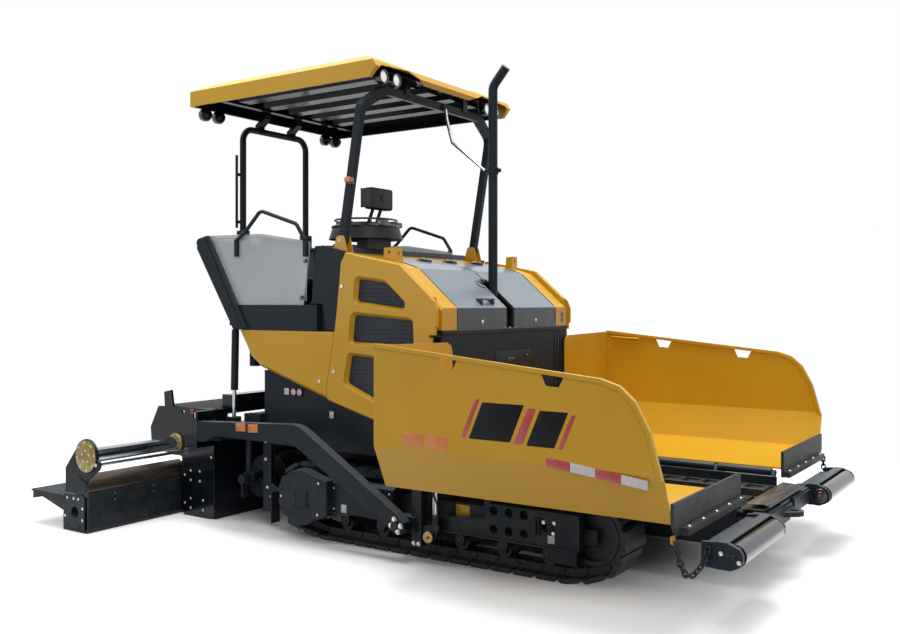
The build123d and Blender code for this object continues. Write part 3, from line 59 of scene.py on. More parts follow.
# floor, world and lamps: the floor's glow starts outside an oval round the machine, and is white farther out
studio = {"floorSize": 70, "floorZ": -0.001, "floorColour": (0.8, 0.8, 0.8), "bounceColour": (0.34, 0.34, 0.34),
          "floorGlow": 0.42, "oval": (2.4, 1.5, 1), "glowFrom": 0.7, "glowTo": 1.25, "whiteFrom": 3.6, "whiteTo": 6.0,
          "worldColour": (0.86, 0.9, 1.0), "worldLevel": 0.31,
          "lamps": [("keyLamp", (5.0, -5.5, 6.5), (0.3, -0.3, 1.2), 130, 3.6),
                    ("fillLamp", (-4.0, -7.0, 3.2), (-0.6, 0, 1.0), 65, 4.0),
                    ("topLamp", (1.0, 1.2, 16.0), (0.0, 0.0, 1.5), 2800, 9.0),
                    ("rimLamp", (-4.0, -1.0, 7.0), (0.8, 1.6, 1.0), 190, 3.5)]}


def emptyTree(block):
    # node tree of a material or a world, cleared
    block.use_nodes = True
    block.node_tree.nodes.clear()
    return block.node_tree


def setInputs(tree, node, inputs):
    # each input is a value or another node's output
    for key, value in inputs.items():
        if isinstance(value, bpy.types.NodeSocket):
            tree.links.new(value, node.inputs[key])
        else:
            node.inputs[key].default_value = value


def addNode(tree, kind, inputs=None, **settings):
    node = tree.nodes.new(kind)
    for key, value in settings.items():
        setattr(node, key, value)
    setInputs(tree, node, inputs or {})
    return node


def mixShaders(tree, factor, first, second):
    return addNode(tree, "ShaderNodeMixShader", {0: factor, 1: first, 2: second}).outputs[0]


def spread(tree, link, limits, low=0, high=1, kind="LINEAR"):
    # a value between two limits, brought to the span from low to high
    inputs = {"Value": link, "From Min": limits[0], "From Max": limits[1], "To Min": low, "To Max": high}
    return addNode(tree, "ShaderNodeMapRange", inputs, interpolation_type=kind).outputs["Result"]


def seenMask(tree):
    # 1 where the camera, a mirror or a clear piece looks at the backdrop
    path = addNode(tree, "ShaderNodeLightPath")
    mask = path.outputs["Is Camera Ray"]
    for ray in ("Is Glossy Ray", "Is Transmission Ray"):
        mask = addNode(tree, "ShaderNodeMath", {0: mask, 1: path.outputs[ray]}, operation="MAXIMUM").outputs[0]
    return mask


def makeWorld():
    world = bpy.data.worlds.new("studioWorld")
    bpy.context.scene.world = world
    tree = emptyTree(world)
    looks = [addNode(tree, "ShaderNodeBackground", {"Color": (*colour, 1), "Strength": level}).outputs[0]
             for colour, level in ((studio["worldColour"], studio["worldLevel"]), ((1, 1, 1), 1))]
    addNode(tree, "ShaderNodeOutputWorld", {"Surface": mixShaders(tree, seenMask(tree), *looks)})


def makeFloor():
    # pale floor that keeps the shadow near the machine, and is darker for light that bounces
    s = studio
    bpy.ops.mesh.primitive_plane_add(size=s["floorSize"], location=(0, 0, s["floorZ"]))
    floor = bpy.context.object
    floor.name = "studioFloor"
    material = bpy.data.materials.new("paleFloor")
    tree = emptyTree(material)
    matte, bounce = (addNode(tree, "ShaderNodeBsdfDiffuse", {"Color": (*s[key], 1)}).outputs[0]
                     for key in ("floorColour", "bounceColour"))
    place = addNode(tree, "ShaderNodeTexCoord").outputs["Object"]
    inOval = addNode(tree, "ShaderNodeMapping", {"Vector": place, "Scale": [1 / c for c in s["oval"]]}).outputs[0]

    def byDistance(link, limits, high):
        away = addNode(tree, "ShaderNodeVectorMath", {0: link}, operation="LENGTH").outputs["Value"]
        return spread(tree, away, limits, 0, high, "SMOOTHSTEP")

    level = byDistance(inOval, (s["glowFrom"], s["glowTo"]), s["floorGlow"])
    glow = addNode(tree, "ShaderNodeEmission", {"Strength": level}).outputs[0]
    near = addNode(tree, "ShaderNodeAddShader", {0: matte, 1: glow}).outputs[0]
    white = addNode(tree, "ShaderNodeEmission").outputs[0]
    seen = mixShaders(tree, byDistance(place, (s["whiteFrom"], s["whiteTo"]), 1), near, white)
    addNode(tree, "ShaderNodeOutputMaterial", {"Surface": mixShaders(tree, seenMask(tree), bounce, seen)})
    floor.data.materials.append(material)


def makeLamps():
    for name, place, target, power, size in studio["lamps"]:
        aim = (Vector(target) - Vector(place)).to_track_quat("-Z", "Y").to_euler()
        bpy.ops.object.light_add(type="AREA", location=place, rotation=aim)
        lamp = bpy.context.object
        lamp.name = name
        lamp.data.energy = power
        lamp.data.size = size
    bpy.context.scene.view_settings.view_transform = "Standard"


makeWorld()
makeFloor()
makeLamps()
print("studio ready")


def finishOf(base, worn, rough, patch, grain, bump, **more):
    # display colours 0 to 255, patches and grain per metre, dust thins out up to dustTop metres
    return {"base": base, "worn": worn, "rough": rough, "patch": patch, "grain": grain, "bump": bump, **more}


finishes = {
    "amberPaint": finishOf((215, 165, 38), (208, 157, 34), (0.285, 0.3), 1.3, 420, 0.04, coat=0.05, edge=0.16,
                           shine=0.28, marks=0.05, dust=0.008, dustTop=1.0),
    # the lighter colour given for faces that look up, here and on the satin hood, is a painted reflection of the sky
    "charcoalPaint": finishOf((29, 39, 48), (22, 32, 41), (0.34, 0.48), 1.8, 520, 0.08, edge=0.22, shine=0.13,
                              sky=(84, 91, 96), dust=0.08, dustTop=0.9),
    "satinHood": finishOf((62, 68, 74), (46, 52, 58), (0.2, 0.32), 1.6, 300, 0.03, edge=0.2, shine=0.4,
                          sky=(132, 142, 151), stretch=(0.6, 7, 1.0), dust=0.02),
    "blackPlastic": finishOf((23, 27, 32), (32, 36, 41), (0.36, 0.52), 6.0, 700, 0.16, edge=0.2, shine=0.3,
                             dust=0.04),
    "linerBlack": finishOf((10, 17, 24), (16, 24, 32), (0.16, 0.3), 3.0, 300, 0.03, edge=0.2, shine=0.14),
    "trackSteel": finishOf((18, 25, 33), (33, 40, 47), (0.36, 0.58), 9.0, 160, 0.25, metal=0.2, edge=0.35, shine=0.25,
                           dust=0.1),
    "linkSteel": finishOf((50, 58, 66), (30, 37, 44), (0.28, 0.46), 14.0, 160, 0.2, metal=0.4, edge=0.4, dust=0.06),
    "wornSteel": finishOf((84, 86, 86), (56, 57, 57), (0.26, 0.46), 5.0, 240, 0.1, metal=0.7, edge=0.3,
                          stretch=(1.0, 5.0, 1.0), dust=0.06, dustTop=0.8),
    "scuffedSteel": finishOf((66, 62, 58), (104, 92, 76), (0.24, 0.5), 5.0, 240, 0.14, metal=0.75, edge=0.4,
                             stretch=(6.0, 1.0, 6.0), dust=0.05, dustTop=0.8),
    "chromeRod": finishOf((190, 198, 207), (164, 172, 182), (0.14, 0.24), 5.0, 600, 0.01, metal=1.0),
    "zincBright": finishOf((206, 206, 202), (160, 160, 156), (0.22, 0.38), 60.0, 900, 0.05, metal=0.9),
    "goldPlate": finishOf((150, 132, 78), (112, 98, 58), (0.24, 0.38), 18.0, 500, 0.04, metal=0.85, edge=0.3),
    "flapRubber": finishOf((30, 36, 41), (54, 57, 58), (0.4, 0.6), 5.0, 380, 0.22, edge=0.5, shine=0.2,
                           stretch=(1.0, 1.0, 3.0), dust=0.1, dustTop=1.2),
    "seatLeather": finishOf((25, 26, 29), (34, 35, 38), (0.42, 0.58), 9.0, 260, 0.35, shine=0.3, dust=0.02),
    "castEngine": finishOf((62, 65, 68), (46, 48, 50), (0.5, 0.7), 8.0, 200, 0.2, metal=0.3, dust=0.1, dustTop=2.0),
    "smokedSheet": finishOf((212, 215, 218), (202, 205, 208), (0.14, 0.26), 1.6, 60, 0.01, alpha=0.72, dust=0.03,
                            dustTop=2.6),
    "blackMesh": finishOf((46, 52, 63), (36, 42, 52), (0.34, 0.5), 5.0, 300, 0.1, shine=0.2, holes=34),
    # the lamp glass carries a painted glow: a weak emission that makes its faces look bright
    "lampGlass": finishOf((250, 252, 255), (236, 240, 245), (0.05, 0.12), 30.0, 160, 0.08, coat=0.8, lit=0.35),
    "amberLens": finishOf((216, 106, 18), (180, 80, 12), (0.12, 0.22), 40.0, 300, 0.05, coat=0.8),
    "signalRed": finishOf((190, 26, 30), (160, 20, 24), (0.22, 0.34), 14.0, 520, 0.06, coat=0.5, dust=0.02,
                          dustTop=1.0),
    "whiteTape": finishOf((214, 212, 208), (196, 194, 190), (0.22, 0.34), 20.0, 520, 0.1, coat=0.4, dust=0.02,
                          dustTop=1.0),
    "orangeLabel": finishOf((226, 128, 26), (206, 112, 20), (0.26, 0.38), 20.0, 520, 0.05, coat=0.4, dust=0.03,
                            dustTop=1.0),
    "inkBlack": finishOf((13, 15, 19), (18, 20, 24), (0.34, 0.46), 12.0, 520, 0.04, shine=0.12, dust=0.02,
                         dustTop=1.0),
    "glossBlack": finishOf((16, 17, 20), (24, 25, 28), (0.12, 0.24), 8.0, 420, 0.02, coat=0.6),
    "mirrorBlack": finishOf((12, 22, 32), (9, 17, 26), (0.08, 0.18), 2.0, 300, 0.015, edge=0.3, shine=0.35, dust=0.02,
                            dustTop=0.8),
    "rollerPaint": finishOf((40, 45, 51), (58, 58, 58), (0.1, 0.22), 4.0, 300, 0.02, coat=0.25, metal=0.5, edge=0.3,
                            stretch=(5.0, 0.5, 5.0), dust=0.02, dustTop=0.8),
}
# what the finishes share: the limits that each layer fades in between, and its strength
layers = {"patch": (0.35, 0.68), "patchDetail": 5, "scuffScale": 9, "scuffDetail": 6, "scuffRough": 0.7,
          "sky": (0.35, 0.72), "skyMost": 0.9, "marks": (0.62, 0.78), "marksMost": 0.22, "dust": (0.38, 0.72),
          "dustScale": 3, "dustDetail": 8, "dustRough": 0.72, "dustLow": 2.4, "dustHigh": 0.35,
          "earth": (132, 122, 108), "holes": (0.34, 0.46), "holeColour": (0.0022, 0.0024, 0.003),
          "edge": (0.985, 0.9), "edgeRadius": 0.004, "rough": (0.3, 0.7), "coatRough": 0.1, "grainDetail": 2,
          "bumpDeep": 0.002, "marksLift": (1.35, 0.01), "edgeWearAndHighlightLift": (1.8, 0.03)}


def linear(colour):
    return tuple((c / 255 / 12.92) if c <= 10 else ((c / 255 + 0.055) / 1.055) ** 2.4 for c in colour)


def lighter(colour, factor, lift):
    return tuple(min(1, c * factor + lift) for c in linear(colour))


def mixColours(tree, factor, first, second):
    first, second = ((*c, 1) if isinstance(c, tuple) else c for c in (first, second))
    inputs = {"Factor": factor, 6: first, 7: second}
    return addNode(tree, "ShaderNodeMix", inputs, data_type="RGBA").outputs[2]


def makeFinish(name, s):
    material = bpy.data.materials.new(name)
    material.use_nodes = True
    tree = material.node_tree
    place = addNode(tree, "ShaderNodeTexCoord").outputs
    streak = addNode(tree, "ShaderNodeMapping", {"Vector": place["Object"], "Scale": s.get("stretch", (1, 1, 1))})

    def noise(scale, detail, rough=0.55):
        inputs = {"Vector": streak.outputs[0], "Scale": scale, "Detail": detail, "Roughness": rough}
        return addNode(tree, "ShaderNodeTexNoise", inputs).outputs["Fac"]

    def height(link):
        return addNode(tree, "ShaderNodeSeparateXYZ", {0: link}).outputs["Z"]

    def layer(colour, link, key, most, over):
        return mixColours(tree, spread(tree, link, layers[key], 0, most), colour, over)

    scuffs = noise(s["patch"] * layers["scuffScale"], layers["scuffDetail"], layers["scuffRough"])
    colour = layer(linear(s["base"]), noise(s["patch"], layers["patchDetail"]), "patch", 1, linear(s["worn"]))
    if "sky" in s:
        # faces that look up get a painted sheen: a lighter colour standing in for the sky's reflection
        colour = layer(colour, height(place["Normal"]), "sky", layers["skyMost"], linear(s["sky"]))
    colour = layer(colour, scuffs, "marks", s.get("marks", layers["marksMost"]),
                   lighter(s["base"], *layers["marksLift"]))
    if "dust" in s:
        # dust, thinner with height
        low = spread(tree, height(place["Object"]), (0.0, s.get("dustTop", 0.5)), s["dust"] * layers["dustLow"],
                     s["dust"] * layers["dustHigh"])
        clouds = noise(s["patch"] * layers["dustScale"], layers["dustDetail"], layers["dustRough"])
        inputs = {0: low, 1: spread(tree, clouds, layers["dust"])}
        amount = addNode(tree, "ShaderNodeMath", inputs, operation="MULTIPLY").outputs[0]
        colour = mixColours(tree, amount, colour, linear(layers["earth"]))
    if "holes" in s:
        # punched holes, in even rows
        inputs = {"Vector": place["Object"], "Scale": s["holes"], "Randomness": 0}
        rows = addNode(tree, "ShaderNodeTexVoronoi", inputs, feature="F1").outputs["Distance"]
        colour = mixColours(tree, spread(tree, rows, layers["holes"]), layers["holeColour"], colour)
    grain = {"Height": noise(s["grain"], layers["grainDetail"]), "Strength": s["bump"],
             "Distance": layers["bumpDeep"]}
    if "edge" in s:
        # a lighter line along sharp edges, partly paint worn thin and partly a painted highlight; the edges also
        # catch the light as if rounded
        soft = addNode(tree, "ShaderNodeBevel", {"Radius": layers["edgeRadius"]}, samples=4).outputs[0]
        plain = addNode(tree, "ShaderNodeNewGeometry").outputs["Normal"]
        bend = addNode(tree, "ShaderNodeVectorMath", {0: soft, 1: plain}, operation="DOT_PRODUCT").outputs["Value"]
        colour = layer(colour, bend, "edge", s["edge"], lighter(s["base"], *layers["edgeWearAndHighlightLift"]))
        grain["Normal"] = soft
    looks = {"Base Color": colour, "Roughness": spread(tree, scuffs, layers["rough"], *s["rough"]),
             "Metallic": s.get("metal", 0), "Coat Weight": s.get("coat", 0), "Coat Roughness": layers["coatRough"],
             "Specular IOR Level": s.get("shine", 0.5), "Alpha": s.get("alpha", 1),
             "Normal": addNode(tree, "ShaderNodeBump", grain).outputs["Normal"]}
    # painted glow: the colour is also emitted at a low strength, so the glass looks bright
    if "lit" in s:
        looks.update({"Emission Color": colour, "Emission Strength": s["lit"]})
    setInputs(tree, tree.nodes["Principled BSDF"], looks)
    return material


paint = {name: makeFinish(name, s) for name, s in finishes.items()}
print("finishes made", len(paint))

# which CAD nodes wear each finish; a name without its side stands for the left one and the right one
nodeFinish = {
    "amberPaint": "wing hood_frame side_door rear_panels canopy_roof",
    "charcoalPaint": "main_frame bulkhead rear_cowl platform rear_frame front_hoop rear_hoop auger_beam "
                     "track_frames lower_panels push_beam tow_arms extension lift_barrel screed_walkway "
                     "exhaust_stack",
    "linerBlack": "roof_liner", "mirrorBlack": "screed_frame", "rollerPaint": "push_roller", "satinHood": "hood_lid",
    "blackPlastic": "console", "trackSteel": "track track_rollers auger", "wornSteel": "conveyor",
    "chromeRod": "extension_tube lift_rod", "flapRubber": "wing_flap", "seatLeather": "seats",
    "castEngine": "engine_block", "smokedSheet": "wind_panels"}
for look, names in nodeFinish.items():
    for name in names.split():
        for node in (name, name + "_left", name + "_right"):
            for place in nodes[node].material_slots if node in nodes else ():
                place.material = paint[look]
print("CAD nodes finished")

# tools for making pieces: sides are named, and a flat place is given by its two coordinates across the side
facing = {"right": (0, -1, 0), "left": (0, 1, 0), "front": (1, 0, 0), "back": (-1, 0, 0), "up": (0, 0, 1)}


def axisOf(side):
    return [abs(c) for c in facing[side]].index(1)


def onFace(level, pairs, side="right"):
    # places on the plane at a level along the axis that the side faces
    at = axisOf(side)
    return [(*pair[:at], level, *pair[at:]) for pair in pairs]


def rectangle(u0, u1, v0, v1):
    return [(u0, v0), (u1, v0), (u1, v1), (u0, v1)]


def evenTurns(count, shift=0.0):
    return [math.tau * (k + shift) / count for k in range(count)]


def onRing(middle, radius, turns, side="right"):
    # places round a middle, in the plane that faces the side
    at = axisOf(side)
    u, v = (c for k, c in enumerate(middle) if k != at)
    return onFace(middle[at], [(u + radius * math.cos(a), v + radius * math.sin(a)) for a in turns], side)


def shifted(middle, places):
    return [[a + b for a, b in zip(middle, place)] for place in places]


def deselect():
    bpy.ops.object.select_all(action="DESELECT")


def only(piece):
    deselect()
    piece.select_set(True)
    bpy.context.view_layer.objects.active = piece


def startEdit(piece):
    only(piece)
    bpy.ops.object.mode_set(mode="EDIT")
    bpy.ops.mesh.select_all(action="SELECT")


def endEdit():
    bpy.ops.object.mode_set(mode="OBJECT")


def settle(piece):
    # puts a piece's place into its mesh
    only(piece)
    bpy.ops.object.transform_apply(location=True, rotation=True, scale=True)
    return piece


def joinPieces(pieces):
    only(pieces[0])
    for piece in pieces[1:]:
        piece.select_set(True)
    if len(pieces) > 1:
        bpy.ops.object.join()
    return bpy.context.object


def copyOf(piece, stand=None):
    # copy with its own mesh, stood at a matrix if one is given
    copy = piece.copy()
    copy.data = piece.data.copy()
    bpy.context.collection.objects.link(copy)
    if stand is not None:
        copy.matrix_world = stand
    return copy


def softEdges(piece, width, steps=2, angle=40):
    if width:
        only(piece)
        soft = piece.modifiers.new("soft", "BEVEL")
        soft.width = width
        soft.segments = steps
        soft.limit_method = "ANGLE"
        soft.angle_limit = math.radians(angle)
        bpy.ops.object.modifier_apply(modifier=soft.name)
    return piece


def addBox(low, high, soft=0.003, steps=2):
    deselect()
    bpy.ops.mesh.primitive_cube_add(size=1, location=[(a + b) / 2 for a, b in zip(low, high)])
    piece = bpy.context.object
    piece.scale = [b - a for a, b in zip(low, high)]
    return softEdges(settle(piece), soft, steps)


def addRound(start, end, radius, sides=28, soft=0.0015):
    deselect()
    line = Vector(end) - Vector(start)
    bpy.ops.mesh.primitive_cylinder_add(vertices=sides, radius=radius, depth=line.length,
                                        location=(Vector(start) + Vector(end)) / 2,
                                        rotation=line.to_track_quat("Z", "Y").to_euler())
    return softEdges(settle(bpy.context.object), soft)


def addPlate(level, pairs, thick, soft=0.0012, roundBy=0.0, roundSteps=4, side="right"):
    # flat plate from its corners, rounded if wanted, pushed out toward the side
    deselect()
    bpy.ops.mesh.primitive_circle_add(vertices=len(pairs), fill_type="NGON")
    piece = bpy.context.object
    for vertex, place in zip(piece.data.vertices, onFace(level, pairs, side)):
        vertex.co = place
    startEdit(piece)
    if roundBy:
        bpy.ops.mesh.bevel(offset=roundBy, segments=roundSteps, affect="VERTICES")
        bpy.ops.mesh.select_all(action="SELECT")
    bpy.ops.mesh.extrude_region_move(TRANSFORM_OT_translate={"value": [c * thick for c in facing[side]]})
    bpy.ops.mesh.select_all(action="SELECT")
    bpy.ops.mesh.normals_make_consistent(inside=False)
    endEdit()
    return softEdges(piece, soft)


def addLine(points, order=3, loop=False, steps=6):
    # smooth curve along its control points
    deselect()
    bpy.ops.curve.primitive_nurbs_path_add()
    curve = bpy.context.object
    curve.data.splines.clear()
    line = curve.data.splines.new("NURBS")
    line.points.add(len(points) - 1)
    for point, place in zip(line.points, points):
        point.co = (*place, 1)
    line.order_u = order
    line.use_endpoint_u = not loop
    line.use_cyclic_u = loop
    line.resolution_u = steps
    curve.data.dimensions = "3D"
    return curve


def toMesh(curve):
    only(curve)
    bpy.ops.object.convert(target="MESH")
    return bpy.context.object


def addTube(points, radius, sides=3, order=3, loop=False):
    # round bar along a smooth curve
    tube = addLine(points, order, loop)
    tube.data.bevel_depth = radius
    tube.data.bevel_resolution = sides
    tube.data.use_fill_caps = not loop
    return toMesh(tube)


def lathe(profile, place, sides=40, side="right"):
    # round piece spun from half its outline, given as (radius, height) along a side or a direction
    deselect()
    bpy.ops.mesh.primitive_circle_add(vertices=len(profile), fill_type="NOTHING")
    piece = bpy.context.object
    for vertex, (radius, height) in zip(piece.data.vertices, profile):
        vertex.co = (radius, 0, height)
    startEdit(piece)
    mesh = bmesh.from_edit_mesh(piece.data)
    ends = {0, len(profile) - 1}
    mesh.edges.remove(next(edge for edge in mesh.edges if {v.index for v in edge.verts} == ends))
    bmesh.update_edit_mesh(piece.data)
    bpy.ops.mesh.select_all(action="SELECT")
    bpy.ops.mesh.spin(steps=sides, angle=math.tau, center=(0, 0, 0), axis=(0, 0, 1))
    bpy.ops.mesh.select_all(action="SELECT")
    bpy.ops.mesh.remove_doubles(threshold=0.00001)
    bpy.ops.mesh.normals_make_consistent(inside=False)
    endEdit()
    piece.rotation_euler = Vector(facing.get(side, side)).to_track_quat("Z", "Y").to_euler()
    piece.location = place
    return settle(piece)


def dress(piece, name, body, finish, angle=35):
    only(piece)
    bpy.ops.object.shade_smooth_by_angle(angle=math.radians(angle))
    piece.name = name
    piece.data.name = name
    piece.data.materials.clear()
    piece.data.materials.append(paint[finish])
    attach(piece, body)
    return piece


def addLeft(right, name, body):
    # the like of a right-hand piece on the left; a body named for one side changes with it
    left = copyOf(right)
    for vertex in left.data.vertices:
        vertex.co.y *= -1
    startEdit(left)
    bpy.ops.mesh.flip_normals()
    endEdit()
    left.name = name
    left.data.name = name
    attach(left, body.replace("right", "left"))


def build(name, finish, *shapes, body="machine", both=True, angle=35):
    # a named piece joined from its shapes, for the right side and the left, or one alone
    piece = joinPieces(shapes)
    dress(piece, name + "Right" if both else name, body, finish, angle)
    if both:
        addLeft(piece, name + "Left", body)


# fasteners, modelled once at a radius of 1
def upright(sides, radius, low, high):
    bpy.ops.mesh.primitive_cylinder_add(vertices=sides, radius=radius, depth=high - low,
                                        location=(0, 0, (low + high) / 2))
    return settle(bpy.context.object)


def insetTop(piece, width, **more):
    # draws in the faces that look up
    startEdit(piece)
    bpy.ops.mesh.select_mode(type="FACE")
    mesh = bmesh.from_edit_mesh(piece.data)
    for face in mesh.faces:
        face.select_set(face.normal.z > 0.9)
    bmesh.update_edit_mesh(piece.data)
    bpy.ops.mesh.inset(thickness=width, **more)


def makeHexBolt():
    washer = upright(18, 1.2, 0, 0.22)
    head = upright(6, 0.92, 0.22, 0.82)
    insetTop(head, 0.12, depth=0.08)
    endEdit()
    return joinPieces([washer, head])


def makeDomeBolt():
    bpy.ops.mesh.primitive_uv_sphere_add(segments=14, ring_count=8, radius=1)
    dome = bpy.context.object
    startEdit(dome)
    bpy.ops.mesh.bisect(plane_co=(0, 0, 0.05), plane_no=(0, 0, 1), clear_inner=True, use_fill=True)
    endEdit()
    dome.scale = (0.9, 0.9, 0.62)
    settle(dome)
    return joinPieces([upright(18, 1.15, -0.03, 0.13), dome])


def makeSocketScrew():
    screw = upright(18, 1, 0, 0.7)
    insetTop(screw, 0.42)
    bpy.ops.mesh.extrude_region_move(TRANSFORM_OT_translate={"value": (0, 0, -0.38)})
    endEdit()
    return softEdges(screw, 0.1, 1, 60)


models = {"hex": makeHexBolt(), "dome": makeDomeBolt(), "socket": makeSocketScrew()}


def strew(model, places, size, side="right", turn=0):
    # fasteners joined into one piece, each turned a few degrees more than the last
    stand = Vector(facing[side]).to_track_quat("Z", "Y").to_matrix().to_4x4()
    return settle(joinPieces([copyOf(models[model], Matrix.Translation(place) @ stand
                                     @ Matrix.Rotation(math.radians(turn * k), 4, "Z") @ Matrix.Scale(size, 4))
                              for k, place in enumerate(places)]))


print("fasteners modelled")

# fasteners on the machine, given for the right-hand side
fastenerTurn = 17


def fasten(name, model, size, level, pairs, body="machine", finish="zincBright", side="right"):
    build(name, finish, strew(model, onFace(level, pairs, side), size, side, fastenerTurn), body=body)


fasten("housingScrews", "dome", 0.008, -1.098, [(-0.415, 0.433), (-0.425, 0.202), (-0.789, 0.3)])
fasten("frameBolts", "hex", 0.01, -1.012, [(1.4, 0.368), (1.476, 0.371), (1.469, 0.305)])
fasten("postBolts", "hex", 0.013, -1.09, [(0.444, 0.118), (0.484, 0.118)])
fasten("armTipBolts", "hex", 0.016, -1.195, [(0.357, 0.288), (0.331, 0.244), (0.41, 0.249), (0.387, 0.209)],
       body="screed")
fasten("screedBolts", "dome", 0.0105, -1.02, [(-1.885, 0.371), (-1.776, 0.373), (-1.958, 0.329), (-1.885, 0.293),
       (-1.774, 0.294), (-1.885, 0.144), (-1.738, 0.143), (-1.958, 0.1), (-1.885, 0.065), (-1.738, 0.063),
       (-1.64, 0.72), (-1.64, 0.5)], body="screed")
fasten("gateBolts", "dome", 0.01, -1.884, [(-2.289, 0.251), (-2.208, 0.252), (-2.149, 0.25), (-2.098, 0.182),
       (-2.098, 0.095), (-2.315, 0.108)], body="extension_right")
fasten("gateStrapBolts", "dome", 0.011, -2.018, [(-1.649, 0.277), (-1.649, 0.229), (-1.285, 0.277), (-1.285, 0.229)],
       body="extension_right", finish="glossBlack", side="front")
fasten("flapBolts", "dome", 0.013, 0.572, [(2.503, -1.44), (2.503, -1.22), (2.503, -1.0), (2.503, -0.78),
       (2.503, -0.56)], body="wing_right", side="up")
fasten("keeperBolts", "hex", 0.01, -1.38, [(2.652, 0.436), (2.748, 0.4)], body="push_beam")
fasten("doorLocks", "socket", 0.014, -0.995, [(-0.276, 1.871), (-0.352, 1.246)], body="side_door_right")
fasten("panelLocks", "socket", 0.013, -0.98, [(-0.505, 1.165)])
fasten("lidScrews", "dome", 0.014, 0.562, [(-0.4, 1.612)], body="hood_lid_right", side="front")
fasten("bracketBolts", "hex", 0.011, -0.928, [(-0.352, 2.216)])
fasten("columnBolts", "hex", 0.011, -0.911, [(-1.115, 0.3), (-1.075, 0.23), (-1.135, 0.52), (-1.135, 0.66)])
fasten("boxScrews", "dome", 0.008, -1.036, [(-0.32, 0.4), (-0.32, 0.25), (0.19, 0.41)])
fasten("apronScrews", "socket", 0.01, 0.512, [(2.63, -0.39), (2.63, -0.15)], finish="glossBlack", side="up")
fasten("hatchScrews", "dome", 0.008, 0.562, [(-0.19, 1.35), (-0.19, 1.2)], finish="glossBlack", side="front")
fasten("armFootBolts", "hex", 0.014, 0.807, [(-1.52, -1.09), (-1.42, -1.09), (-1.52, -1.16), (-1.42, -1.16)],
       body="screed", finish="glossBlack", side="up")
print("fasteners placed")

# hopper wings: tape along the crease, bare labels and a field of slanted stripes
wingTrim = {"skin": -1.7, "thick": 0.0012, "soft": 0.0004, "tapeStart": (1.789, 0.907), "tapeEnd": (2.38, 0.838),
            "tapes": 4, "tapeHeight": 0.05, "tapeGap": 0.001, "labels": [(0.805, 0.971, 0.89), (0.98, 0.966, 0.885)],
            "labelWide": 0.16, "labelFall": 0.005, "corner": 0.006, "stripeLean": 0.425,
            "stripes": [("stripeRed", "signalRed", 1.232, 1.262, 0.972, 1.2),
                        ("stripeBlack", "inkBlack", 1.285, 1.56, 0.968, 1.182),
                        ("stripeRedTwo", "signalRed", 1.585, 1.64, 0.962, 1.166),
                        ("stripeBlackTwo", "inkBlack", 1.665, 1.84, 0.958, 1.158),
                        ("stripeRedThree", "signalRed", 1.862, 1.89, 0.955, 1.146)]}


def sidePlate(x0, x1, z0, z1, lean=0.0, fall=0.0, roundBy=0.0):
    # thin plate on the right wing's outer face, its top leaning forward and its front end lower
    s = wingTrim
    pairs = [(x0, z0), (x1, z0 - fall), (x1 + lean, z1 - fall), (x0 + lean, z1)]
    return addPlate(s["skin"], pairs, s["thick"], s["soft"], roundBy)


def makeWingTrim():
    s = wingTrim
    for name, finish, x0, x1, z0, z1 in s["stripes"]:
        stripe = sidePlate(x0, x1, z0, z1, s["stripeLean"] * (z1 - z0), 0.0, s["corner"])
        build(name, finish, stripe, body="wing_right")
    (xa, za), (xb, zb) = s["tapeStart"], s["tapeEnd"]
    run, fall = (xb - xa) / s["tapes"], (za - zb) / s["tapes"]
    for first, name, finish in ((0, "tapeRed", "signalRed"), (1, "tapeWhite", "whiteTape")):
        tapes = [sidePlate(xa + run * k, xa + run * (k + 1) - s["tapeGap"], za - fall * k - s["tapeHeight"],
                           za - fall * k, 0.0, fall) for k in range(first, s["tapes"], 2)]
        build(name, finish, *tapes, body="wing_right")
    labels = [sidePlate(x, x + s["labelWide"], low, top, 0.0, s["labelFall"], s["corner"])
              for x, top, low in s["labels"]]
    build("sideLabels", "orangeLabel", *labels, body="wing_right")


makeWingTrim()

# flap chains, which differ from side to side, and the bent ears that they hang from
chainSetup = {"wire": 0.0055, "long": 0.021, "wide": 0.0125, "pitch": 0.032, "steps": 24,
              "right": [(2.486, -1.59, 0.515), (2.5, -1.59, 0.425), (2.528, -1.545, 0.325),
                        (2.556, -1.48, 0.34), (2.582, -1.42, 0.4), (2.588, -1.402, 0.452)],
              "left": [(2.512, 1.5, 0.548), (2.516, 1.494, 0.5), (2.522, 1.48, 0.44)]}


def linePlaces(points, pitch):
    # places along a smooth line, a pitch apart, with the line's direction there
    curve = toMesh(addLine(points, steps=chainSetup["steps"]))
    path = [v.co.copy() for v in curve.data.vertices]
    bpy.data.objects.remove(curve)
    places = []
    covered = 0.0
    wanted = pitch / 2
    for a, b in zip(path, path[1:]):
        step = (b - a).length
        while covered + step >= wanted:
            places.append((a.lerp(b, (wanted - covered) / step), (b - a).normalized()))
            wanted += pitch
        covered += step
    return places


def makeChain(points):
    # every second link is turned a quarter
    s = chainSetup
    half = [(1, 0.75), (0.55, 1.15), (-0.55, 1.15), (-1, 0.75)]
    ring = half + [(-a, -b) for a, b in half]
    link = addTube([(a * s["long"], b * s["wide"], 0) for a, b in ring], s["wire"], 2, 3, True)
    links = [copyOf(link, Matrix.Translation(place) @ along.to_track_quat("X", "Z").to_matrix().to_4x4()
                    @ Matrix.Rotation(math.radians(90 * (k % 2)), 4, "X"))
             for k, (place, along) in enumerate(linePlaces(points, s["pitch"]))]
    bpy.data.objects.remove(link)
    return settle(joinPieces(links))


